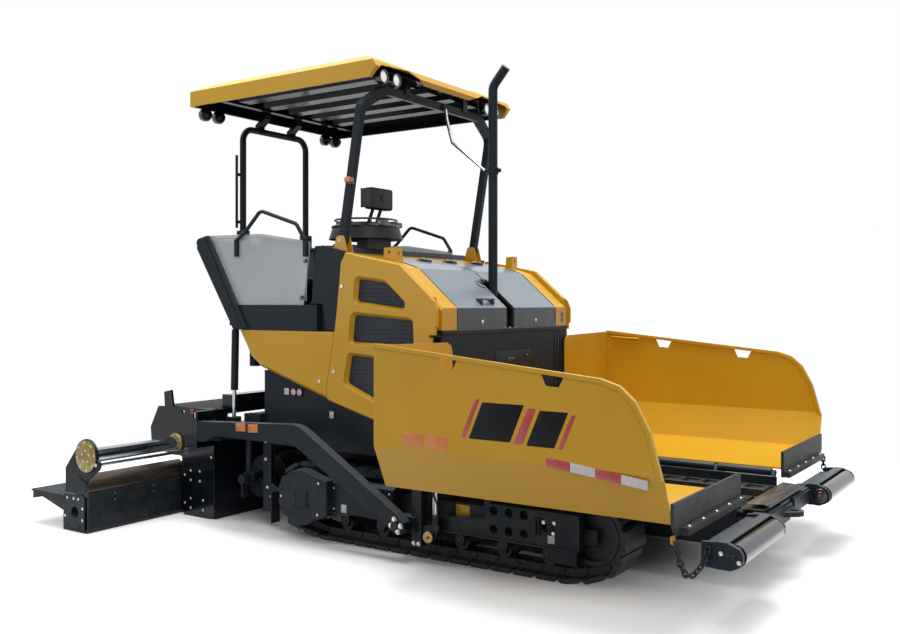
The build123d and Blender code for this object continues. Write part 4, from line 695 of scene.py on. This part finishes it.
for side in ("right", "left"):
    dress(makeChain(chainSetup[side]), "flapChain" + side.capitalize(), "wing_" + side, "trackSteel", 60)
build("chainEar", "amberPaint",
      addPlate(2.4625, [(-1.56, 0.545), (-1.612, 0.545), (-1.606, 0.508), (-1.588, 0.498), (-1.568, 0.508)], 0.012,
               0.002, side="front"),
      addTube(onRing((2.4745, -1.588, 0.513), 0.012, evenTurns(8)), 0.0035, 2, 3, True), body="wing_right")

# hinge sleeves along the hopper floor, between its lugs, and a bar with two lugs on each wing's inner face
hingeLugs = (0.622, 1.082, 1.542, 2.002, 2.412)
hingeGap = 0.016
build("hingeSleeves", "charcoalPaint",
      *[addRound((a + hingeGap, -0.5, 0.562), (b - hingeGap, -0.5, 0.562), 0.0282, 36)
        for a, b in zip(hingeLugs, hingeLugs[1:])], body="wing_right")
build("wingLatch", "amberPaint", addRound((0.64, -1.672, 1.442), (0.905, -1.672, 1.43), 0.009, 20),
      addBox((0.665, -1.699, 1.432), (0.675, -1.664, 1.45), 0.002),
      addBox((0.86, -1.699, 1.424), (0.87, -1.664, 1.442), 0.002), body="wing_right")

# push roller's axle on the inner cheek, with three nuts and a cap
rollerAxle = (2.706, -0.5595, 0.42)
build("rollerBoss", "glossBlack",
      lathe([(0, 0.014), (0.024, 0.014), (0.028, 0.01), (0.044, 0.008), (0.048, 0.004), (0.048, -0.004)],
            rollerAxle, 36, "left"),
      strew("hex", onRing((2.706, -0.5515, 0.42), 0.036, (0.6, 2.7, 4.8)), 0.005, "left"), body="push_beam")
build("rollerCap", "signalRed", lathe([(0, 0.026), (0.008, 0.025), (0.011, 0.02), (0.012, 0.013)], rollerAxle, 20,
                                      "left"), body="push_beam")

# lip and worn skin of the conveyor's apron: name, finish, rear and front end of the sheet, thickness, soft edge
apronLevel = 0.5122
aprons = [("apronLip", "wornSteel", (2.588, 0.402), (2.636, 0.424), 0.003, 0.001),
          ("apronSkin", "scuffedSteel", (2.49, 0.425), (2.586, 0.4), 0.0015, 0.0005)]
for name, finish, (x0, y0), (x1, y1), thick, soft in aprons:
    corners = [(x0, -y0), (x0, y0), (x1, y1), (x1, -y1)]
    build(name, finish, addPlate(apronLevel, corners, thick, soft, side="up"), both=False)
print("wings trimmed")

# track rollers' hub covers and their screws, and the drive housing's raised plate with a bead round it
hubMiddles = [(-0.288 + 0.337 * k, -0.9455, 0.1563) for k in range(6)]
hubCover = [(0, 0.01), (0.016, 0.01), (0.018, 0.007), (0.036, 0.005), (0.04, 0.001), (0.04, -0.004)]
build("rollerHubs", "trackSteel", *[lathe(hubCover, middle, 24) for middle in hubMiddles],
      strew("hex", [(x, y - 0.004, z) for middle in hubMiddles for x, y, z in onRing(middle, 0.027, evenTurns(5))],
            0.0045))
build("housingCover", "charcoalPaint", addBox((-0.622, -1.1085, 0.25), (-0.534, -1.103, 0.35), 0.003, 3),
      addTube(onFace(-1.1045, rectangle(-0.634, -0.522, 0.237, 0.364)), 0.0032, 2, 2, True))

# rounded link ends and pins on the track chains' outer faces
trackLoop = {"radius": 0.232, "wheelZ": 0.295, "shoe": 0.03, "wheelXs": (1.687, -0.643), "groundXs": (1.397, -0.288),
             "shoes": 37, "y": -0.784, "deep": 0.036, "half": 0.051, "arcSteps": 12}


def trackPath(inset):
    # the loop's line, set in from its outside, flat between its two bends
    s = trackLoop
    r = s["radius"] - inset
    flat = s["shoe"] + inset
    drop = s["wheelZ"] - flat
    points = []
    for x, ground, ahead in zip(s["wheelXs"], s["groundXs"], (True, False)):
        run = abs(x - ground)
        rise = math.atan2(drop, run) - math.atan2(r, math.sqrt(run ** 2 + drop ** 2 - r ** 2))
        start = rise - math.pi / 2 if ahead else math.pi / 2
        for k in range(s["arcSteps"] + 1):
            a = start + (math.pi - rise) * k / s["arcSteps"]
            points.append((x + r * math.cos(a), s["wheelZ"] + r * math.sin(a)))
    return points + [(ground, flat) for ground in reversed(s["groundXs"])]


def makeTrackLinks():
    s = trackLoop
    path = trackPath(s["deep"] / 2)
    runs = list(zip(path, path[1:] + path[:1]))
    total = sum(math.dist(a, b) for a, b in runs)
    model = joinPieces([*[addRound((x, 0, 0), (x, 0, 0.0035), 0.0165, 14, 0.001) for x in (-0.02, 0.022)],
                        addBox((-0.02, -0.011, 0), (0.022, 0.011, 0.0028), 0.0008, 1),
                        addRound((-0.02, 0, 0.003), (-0.02, 0, 0.007), 0.0085, 12, 0.0008)])
    links = []
    for k in range(s["shoes"]):
        wanted = total * (k + 0.5) / s["shoes"]
        for a, b in runs:
            step = math.dist(a, b)
            if wanted <= step:
                break
            wanted -= step
        x, z = (p + (q - p) * wanted / step for p, q in zip(a, b))
        turn = Matrix.Rotation(-math.atan2(b[1] - a[1], b[0] - a[0]), 4, "Y")
        for side in (-1, 1):
            place = Matrix.Translation((x, s["y"] + side * s["half"], z))
            links.append(copyOf(model, place @ turn @ Matrix.Rotation(math.radians(-90 * side), 4, "X")))
    bpy.data.objects.remove(model)
    return settle(joinPieces(links))


build("trackLinks", "linkSteel", makeTrackLinks())

# track frame: grease plug in the adjuster's slot, clamp of three bars, lip and edge of the housing's neck
frameBars = [((1.342, -1.03, 0.285), (1.352, -1.011, 0.385)), ((1.366, -1.03, 0.285), (1.376, -1.011, 0.385)),
             ((1.326, -1.024, 0.375), (1.392, -1.011, 0.392)), ((-0.34, -1.1, 0.19), (-0.3, -1.02, 0.198)),
             ((-0.339, -1.036, 0.224), (-0.331, -1.013, 0.44))]
build("frameFittings", "charcoalPaint", *[addBox(low, high, 0.002) for low, high in frameBars],
      lathe([(0, 0.014), (0.01, 0.014), (0.012, 0.01), (0.022, 0.008), (0.025, 0.003), (0.025, -0.03)],
            (1.448, -1.012, 0.335), 24))

# bare plates and signs, the round signs with red rims
signFace = -0.9112
roundSigns = onFace(signFace, [(-0.838, 1.065), (-0.776, 1.065)])


def barePlate(level, sides, soft):
    return addPlate(level, rectangle(*sides), 0.0015, soft, 0.004)


build("barePlates", "whiteTape", barePlate(-1.0352, (-0.25, -0.2, 0.231, 0.29), 0.0005),
      barePlate(-1.0122, (1.43, 1.478, 0.24, 0.29), 0.0005))
build("innerPlate", "amberPaint", barePlate(-0.9402, (0.69, 0.8, 0.3, 0.388), 0.0005))
build("bareSigns", "whiteTape", barePlate(signFace, (-0.934, -0.884, 1.04, 1.09), 0.0004),
      barePlate(signFace, (-0.47, -0.428, 0.888, 0.938), 0.0004),
      *[lathe([(0, 0.0016), (0.027, 0.0016), (0.027, -0.001)], place, 32) for place in roundSigns])

# levelling gear at the guide post: pale sleeve and rod, then a collar with a bent pipe into a block
build("levelRods", "zincBright", addRound((0.605, -1.057, 0.318), (0.605, -1.057, 0.5), 0.0135, 28),
      addRound((0.57, -1.039, 0.3), (0.57, -1.039, 0.56), 0.005, 16))
build("levelPipe", "blackPlastic",
      lathe([(0.013, 0.0), (0.024, 0.0), (0.024, 0.022), (0.013, 0.022)], (0.605, -1.057, 0.3), 28, "up"),
      addTube([(0.587, -1.067, 0.56), (0.585, -1.079, 0.47), (0.629, -1.083, 0.42), (0.635, -1.077, 0.34),
               (0.623, -1.073, 0.262)], 0.007),
      addBox((0.617, -1.087, 0.225), (0.645, -1.051, 0.262), 0.004), angle=60)
print("track side trimmed")

# turned pieces on the right: name, body, finish, places, number of sides, outline
tubeMiddle = (-2.058, -1.0205, 0.586)
discMiddle = (-2.058, -1.885, 0.586)
turned = [
    ("signRims", "machine", "signalRed", roundSigns, 32,
     [(0.0225, 0.0022), (0.0275, 0.0022), (0.028, 0.001), (0.028, -0.001), (0.0225, -0.001)]),
    ("levelRing", "machine", "goldPlate", [(0.562, -1.0925, 0.173)], 40,
     [(0.0, 0.004), (0.02, 0.004), (0.022, 0.006), (0.036, 0.006), (0.04, 0.003), (0.0405, -0.006), (0.0, -0.006)]),
    ("levelButton", "machine", "signalRed", [(0.562, -1.097, 0.173)], 20,
     [(0.0, 0.012), (0.006, 0.011), (0.011, 0.006), (0.012, 0.0)]),
    ("towPinCap", "machine", "trackSteel", [(0.362, -1.2035, 0.246)], 40,
     [(0, 0.006), (0.01, 0.006), (0.014, 0.01), (0.024, 0.01), (0.03, 0.005), (0.031, -0.006)]),
    ("tubeFlange", "screed", "goldPlate", [tubeMiddle], 48,
     [(0.0558, -0.002), (0.0558, 0.02), (0.07, 0.021), (0.08, 0.018), (0.0825, 0.014), (0.0825, -0.002)]),
    ("endDisc", "extension_right", "goldPlate", [discMiddle], 64,
     [(0, 0.003), (0.118, 0.003), (0.122, 0.0012), (0.122, -0.003)]),
    ("guideNut", "extension_right", "zincBright", [(-1.938, -1.876, 0.53)], 24,
     [(0, 0.01), (0.012, 0.01), (0.015, 0.007), (0.015, -0.012)]),
    ("guideCollar", "screed", "glossBlack", [(-1.938, -1.0205, 0.53)], 28,
     [(0.0125, 0.006), (0.03, 0.006), (0.033, 0.003), (0.033, -0.001)]),
    ("endKnob", "extension_right", "blackPlastic", [(-2.052, -1.868, 0.296)], 12,
     [(0, 0.016), (0.014, 0.016), (0.022, 0.012), (0.025, 0.0), (0.018, -0.02)]),
    ("endStuds", "screed", "signalRed", onFace(-1.0202, rectangle(-1.874, -1.852, 0.846, 0.868)), 16,
     [(0, 0.008), (0.007, 0.008), (0.01, 0.004), (0.011, -0.001)]),
    ("screenKnobs", "machine", "glossBlack", onFace(-0.958, [(-0.662, 2.068), (-0.7, 1.79)]), 20,
     [(0, 0.022), (0.01, 0.022), (0.016, 0.017), (0.017, 0.008), (0.01, 0.004), (0.01, -0.01)]),
]
for name, body, finish, places, sides, profile in turned:
    build(name, finish, *[lathe(profile, place, sides) for place in places], body=body)
print(len(turned), "turned pieces modelled")

# screed: screws of the gold flange and end disc, worn slope, tread ribs and bare labels
discRings = [(0.105, 8, 8 / 45), (0.045, 5, 20 / 72)]     # radius, screws, first screw's share of a step
slope = [(-2.0225, 0.3195), (-2.0805, 0.3895), (-2.1725, 0.4268), (-2.1725, 0.425), (-2.0813, 0.388), (-2.023, 0.318)]
ribWide = 0.012


def makeRibs(count, start, pitch, low, high):
    # tread ribs across the machine: low and high are each (y, z)
    return [addBox((start + pitch * k, *low), (start + pitch * k + ribWide, *high), 0.0015, 1) for k in range(count)]


screws = [(x, y - 0.019, z) for x, y, z in onRing(tubeMiddle, 0.07, evenTurns(8, 0.5))]
build("flangeScrews", "zincBright", strew("socket", screws, 0.0062), body="screed")
screws = [(x, y - 0.002, z) for radius, count, shift in discRings
          for x, y, z in onRing(discMiddle, radius, evenTurns(count, shift))]
build("discScrews", "zincBright", strew("dome", screws, 0.0078), body="extension_right")
build("slopeCover", "scuffedSteel", addPlate(-0.905, slope, 0.978, 0.0), body="extension_right", angle=60)
build("walkwayRibs", "wornSteel", *makeRibs(17, -2.205, 0.034, (-0.99, 0.889), (0.99, 0.8935)), body="screed",
      both=False)
build("stepRibs", "charcoalPaint", *makeRibs(10, -2.76, 0.04, (-1.872, 0.2635), (-0.95, 0.268)),
      body="extension_right")
build("armLabels", "orangeLabel",
      *[addPlate(-1.1952, [(x, 0.768), (x + 0.105, 0.775), (x + 0.105, 0.838), (x, 0.831)], 0.0012, 0.0004, 0.005)
        for x in (-1.17, -1.04)], body="screed")
print("screed trimmed")

# doors: mesh behind the windows
doorWindows = [[(-0.138, 1.924), (0.104, 1.892), (0.325, 1.705), (-0.152, 1.764)],
               [(-0.176, 1.663), (0.342, 1.625), (0.351, 1.458), (-0.199, 1.467)],
               [(-0.209, 1.368), (0.357, 1.326), (0.357, 0.925), (-0.242, 1.167)]]
build("doorMesh", "blackMesh", *[addPlate(-0.9573, window, 0.004, 0.0008, 0.024, 5) for window in doorWindows],
      body="side_door_right")

# hood lids: handle and the recess by the exhaust on their slope, and hinge sleeves
lidSlope = ((0.562, 1.714), (0.232, 2.0))
lidNormal = (0.655, 0, 0.756)
hingeYs = (-0.18, -0.58)


def onSlope(down, y):
    # place on the lids' slope, down metres from its lower edge
    (x0, z0), (x1, z1) = lidSlope
    run = math.dist(*lidSlope)
    return Vector((x0 + (x1 - x0) * down / run, y, z0 + (z1 - z0) * down / run))


handleFeet = [onSlope(0.055, y) for y in (-0.375, -0.215)]
grip = [foot + Vector((0, 0, 0.012)) + Vector(lidNormal) * 0.02 for foot in handleFeet]
build("lidHandle", "glossBlack", addRound(*grip, 0.008, 20),
      *[addBox(*shifted(foot, ((-0.028, -0.012, -0.01), (0.028, 0.012, 0.034))), 0.004) for foot in handleFeet],
      body="hood_lid_right", both=False)
build("lidRecess", "glossBlack",
      lathe([(0, 0.002), (0.036, 0.002), (0.04, 0.004), (0.044, 0.003), (0.046, -0.002)], onSlope(0.275, -0.108), 32,
            lidNormal), body="hood_lid_right", both=False)
build("lidHinges", "zincBright",
      *[addRound((-0.141, y - 0.0285, 2.094), (-0.141, y + 0.0285, 2.094), 0.0112, 20, 0.002) for y in hingeYs],
      *[addBox((-0.13, y - 0.028, 2.09), (-0.072, y + 0.028, 2.0985), 0.0015) for y in hingeYs],
      body="hood_lid_right")

# hood front: bulkhead hatch with its latch, ribs beside it, bolts in the slot, locks on the left rail
build("bulkheadHatch", "charcoalPaint",
      addPlate(0.5622, rectangle(-0.225, 0.32, 1.385, 1.06), 0.004, 0.001, 0.03, 6, "front"), both=False)
build("hatchLatch", "glossBlack",
      addPlate(0.566, rectangle(-0.045, 0.05, 1.335, 1.305), 0.0035, 0.001, 0.006, 4, "front"),
      lathe([(0, 0.008), (0.01, 0.008), (0.013, 0.003), (0.013, -0.001)], (0.566, 0.245, 1.335), 20, "front"),
      both=False)
build("bulkheadRibs", "charcoalPaint", *[addBox((0.561, y, 0.93), (0.568, y + 0.018, 1.51), 0.003)
                                         for y in (0.715, 0.765, 0.815)], both=False)
build("slotBolts", "zincBright", strew("hex", [(0.556, y, 1.562) for y in (-0.075, 0.0, 0.075)], 0.008, "up"),
      both=False)
build("railLocks", "glossBlack",
      *[lathe([(0.006, 0.001), (0.006, 0.004), (0.019, 0.0045), (0.021, 0.002), (0.021, -0.001)],
              (0.562, 0.855, height), 24, "front") for height in (1.61, 1.655)], both=False)

# beads: a rubber seam between each lid and its rail, and one round each side screen
beads = [("railSeams", "blackPlastic", -0.7345, 0.0038,
          [(0.5615, 1.57), (0.5615, 1.7145), (0.2315, 2.0008), (0.082, 2.046)]),
         ("screenBeads", "smokedSheet", -0.9585, 0.0035,
          [(-0.664, 1.765), (-0.648, 2.178), (-0.69, 2.194), (-1.137, 2.268), (-1.7, 2.276), (-1.385, 1.765)])]
for name, finish, level, radius, pairs in beads:
    build(name, finish, addTube(onFace(level, pairs), radius, 2, 2))
print("hood trimmed")

# roof: faces and rims of the work lamps, each with the side that it faces
lamps = [("front", (-0.052, y, 3.413)) for y in (-0.794, -0.64, 0.64, 0.794)]
lamps += [("back", (-1.943, y, 3.333)) for y in (-0.826, -0.68, 0.68, 0.826)]
lampTrim = [("lampFaces", "lampGlass", 32,
             [(0, 0.009), (0.02, 0.008), (0.036, 0.004), (0.043, 0.0), (0.043, -0.004)]),
            ("lampRims", "glossBlack", 36,
             [(0.043, 0.004), (0.045, 0.012), (0.051, 0.012), (0.0535, 0.006), (0.0535, -0.03)])]
for name, finish, sides, profile in lampTrim:
    build(name, finish, *[lathe(profile, place, sides, side) for side, place in lamps], both=False)

# pale stay from the hood to the roof, and the amber side lamp
stay = {"marks": [(0.339, 0, 2.775), (-0.03, 0.09, 3.048), (-0.09, 0.095, 3.246), (-0.108, 0.104, 3.33)],
        "bend": 0.02, "radius": 0.0092}


def makeStay():
    # straight runs with short bends, a hair thicker than the bar it covers
    marks = [Vector(place) for place in stay["marks"]]
    points = marks[:1]
    for last, here, following in zip(marks, marks[1:], marks[2:]):
        points += [here + (last - here).normalized() * stay["bend"], here,
                   here + (following - here).normalized() * stay["bend"]]
    return addTube(points + marks[-1:], stay["radius"], 3)


build("stayBar", "zincBright", makeStay(), both=False)
build("sideLampBase", "glossBlack", addBox((-0.262, -0.952, 2.622), (-0.226, -0.914, 2.634), 0.003), both=False)
build("sideLampLens", "amberLens", addBox((-0.286, -0.964, 2.634), (-0.23, -0.912, 2.676), 0.01, 3), both=False)
print("roof trimmed")

# console, from its middle: rim, buttons, rail on posts, switch boxes and a red stop button
consoleTrim = {"middle": (-0.618, -0.3), "rimZ": 2.346, "buttonZ": 2.37, "railZ": 2.416, "postZ": 2.365,
               "rim": [(0.262, 0.0), (0.276, 0.004), (0.282, 0.016), (0.276, 0.026), (0.262, 0.024)],
               "button": [(0, 0.012), (0.008, 0.012), (0.01, 0.008), (0.011, -0.006)],
               "buttonTurns": [math.radians(150 + 24 * k) for k in range(10)],
               "boxes": [((0.205, -0.14, 2.355), (0.27, -0.04, 2.408)),
                         ((0.17, 0.09, 2.355), (0.245, 0.17, 2.4)),
                         ((-0.06, -0.262, 2.355), (0.05, -0.205, 2.398))],
               "stop": [(0, 0.026), (0.018, 0.025), (0.024, 0.018), (0.024, 0.01), (0.012, 0.006), (0.012, -0.01)],
               "stopPlace": (-0.768, -0.45, 2.378)}


def makeConsoleTrim():
    s = consoleTrim
    x, y = s["middle"]

    def ring(z, radius, turns):
        return onRing((x, y, z), radius, turns, "up")

    posts = zip(ring(s["postZ"], 0.256, evenTurns(6, 0.3)), ring(s["railZ"], 0.256, evenTurns(6, 0.3)))
    build("consoleRim", "glossBlack", lathe(s["rim"], (x, y, s["rimZ"]), 48, "up"),
          *[lathe(s["button"], place, 16, "up") for place in ring(s["buttonZ"], 0.21, s["buttonTurns"])],
          addTube(ring(s["railZ"], 0.262, evenTurns(12)), 0.008, 2, 3, True),
          *[addRound(foot, head, 0.006, 12) for foot, head in posts],
          *[addBox(*shifted((x, y, 0), box), 0.01, 3) for box in s["boxes"]], both=False)
    build("stopButton", "signalRed", lathe(s["stop"], s["stopPlace"], 24, "up"), both=False)


makeConsoleTrim()

# display, from its own middle: shell, three lips and the eye at its back, then its face
displayMiddle = (-0.493, -0.3, 2.58)
displayLips = [((-0.075, -0.136, 0.07), (-0.02, 0.136, 0.084), 0.006),
               ((-0.07, -0.138, -0.07), (-0.02, -0.126, 0.08), 0.005),
               ((-0.07, 0.126, -0.07), (-0.02, 0.138, 0.08), 0.005)]
build("displayShell", "blackPlastic",
      addBox(*shifted(displayMiddle, ((-0.036, -0.138, -0.084), (0.052, 0.138, 0.088))), 0.022, 4),
      *[addBox(*shifted(displayMiddle, corners), soft) for *corners, soft in displayLips],
      addRound(*shifted(displayMiddle, ((0.05, 0, 0.01), (0.06, 0, 0.01))), 0.03, 28, 0.003), both=False)
build("displayFace", "glossBlack",
      addPlate(-0.5295, rectangle(-0.408, -0.192, 2.518, 2.642), 0.002, 0.0005, 0.006, 4, "back"), both=False)

# padded seats in place of the plain blocks, from the middle of each: low and high corners, and seams
seatTrim = {"place": (-1.128, 0.45, 1.86), "pad": ((-0.232, -0.236, 0.004), (0.24, 0.236, 0.1)),
            "back": ((-0.33, -0.228, 0.05), (-0.236, 0.228, 0.43)), "dips": (-0.5, 0.5), "seamRadius": 0.004,
            "seams": [((-0.225, 0.233, 0.055), (0.2, 0.233, 0.055)),
                      ((-0.283, 0.225, 0.08), (-0.283, 0.225, 0.4))]}
cushion = {"soft": 0.36, "cuts": 6, "crown": 0.1, "groove": 0.09, "grooveWide": 0.05, "grooveEnd": 0.86,
           "skin": 0.3}


def makeCushion(low, high, dips):
    # closed form with soft sides, its broad faces crowned and grooved at the dips
    s = cushion
    spans = [b - a for a, b in zip(low, high)]
    middle = [(a + b) / 2 for a, b in zip(low, high)]
    thin = spans.index(min(spans))
    wide = [k for k in range(3) if k != thin]
    pad = softEdges(addBox(low, high, 0), spans[thin] * s["soft"], 4, 60)
    startEdit(pad)
    bpy.ops.mesh.subdivide(number_cuts=s["cuts"])
    endEdit()
    for vertex in pad.data.vertices:
        u, v = ((vertex.co[k] - middle[k]) / spans[k] * 2 for k in wide)
        away = vertex.co[thin] - middle[thin]
        if abs(away) > spans[thin] * s["skin"]:
            crown = s["crown"] * (max(0.0, (1 - u * u) * (1 - v * v)) - 1)
            grooves = sum(math.exp(-((u - dip) / s["grooveWide"]) ** 2) for dip in dips)
            crown -= s["groove"] * grooves * (abs(v) < s["grooveEnd"])
            vertex.co[thin] += math.copysign(spans[thin], away) * crown
    return pad


def makeSeat(name, side):
    s = seatTrim
    x, y, z = s["place"]
    middle = (x, side * y, z)
    pieces = [makeCushion(*shifted(middle, s["pad"]), s["dips"]), makeCushion(*shifted(middle, s["back"]), ())]
    for half in (-1, 1):
        for seam in s["seams"]:
            pieces.append(addTube(shifted(middle, [(a, half * b, c) for a, b, c in seam]), s["seamRadius"], 2))
    piece = dress(joinPieces(pieces), name, "machine", "seatLeather", 50)
    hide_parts("seats")


makeSeat("seatRight", -1)
makeSeat("seatLeft", 1)
print("operator's place trimmed")

for model in models.values():
    bpy.data.objects.remove(model)
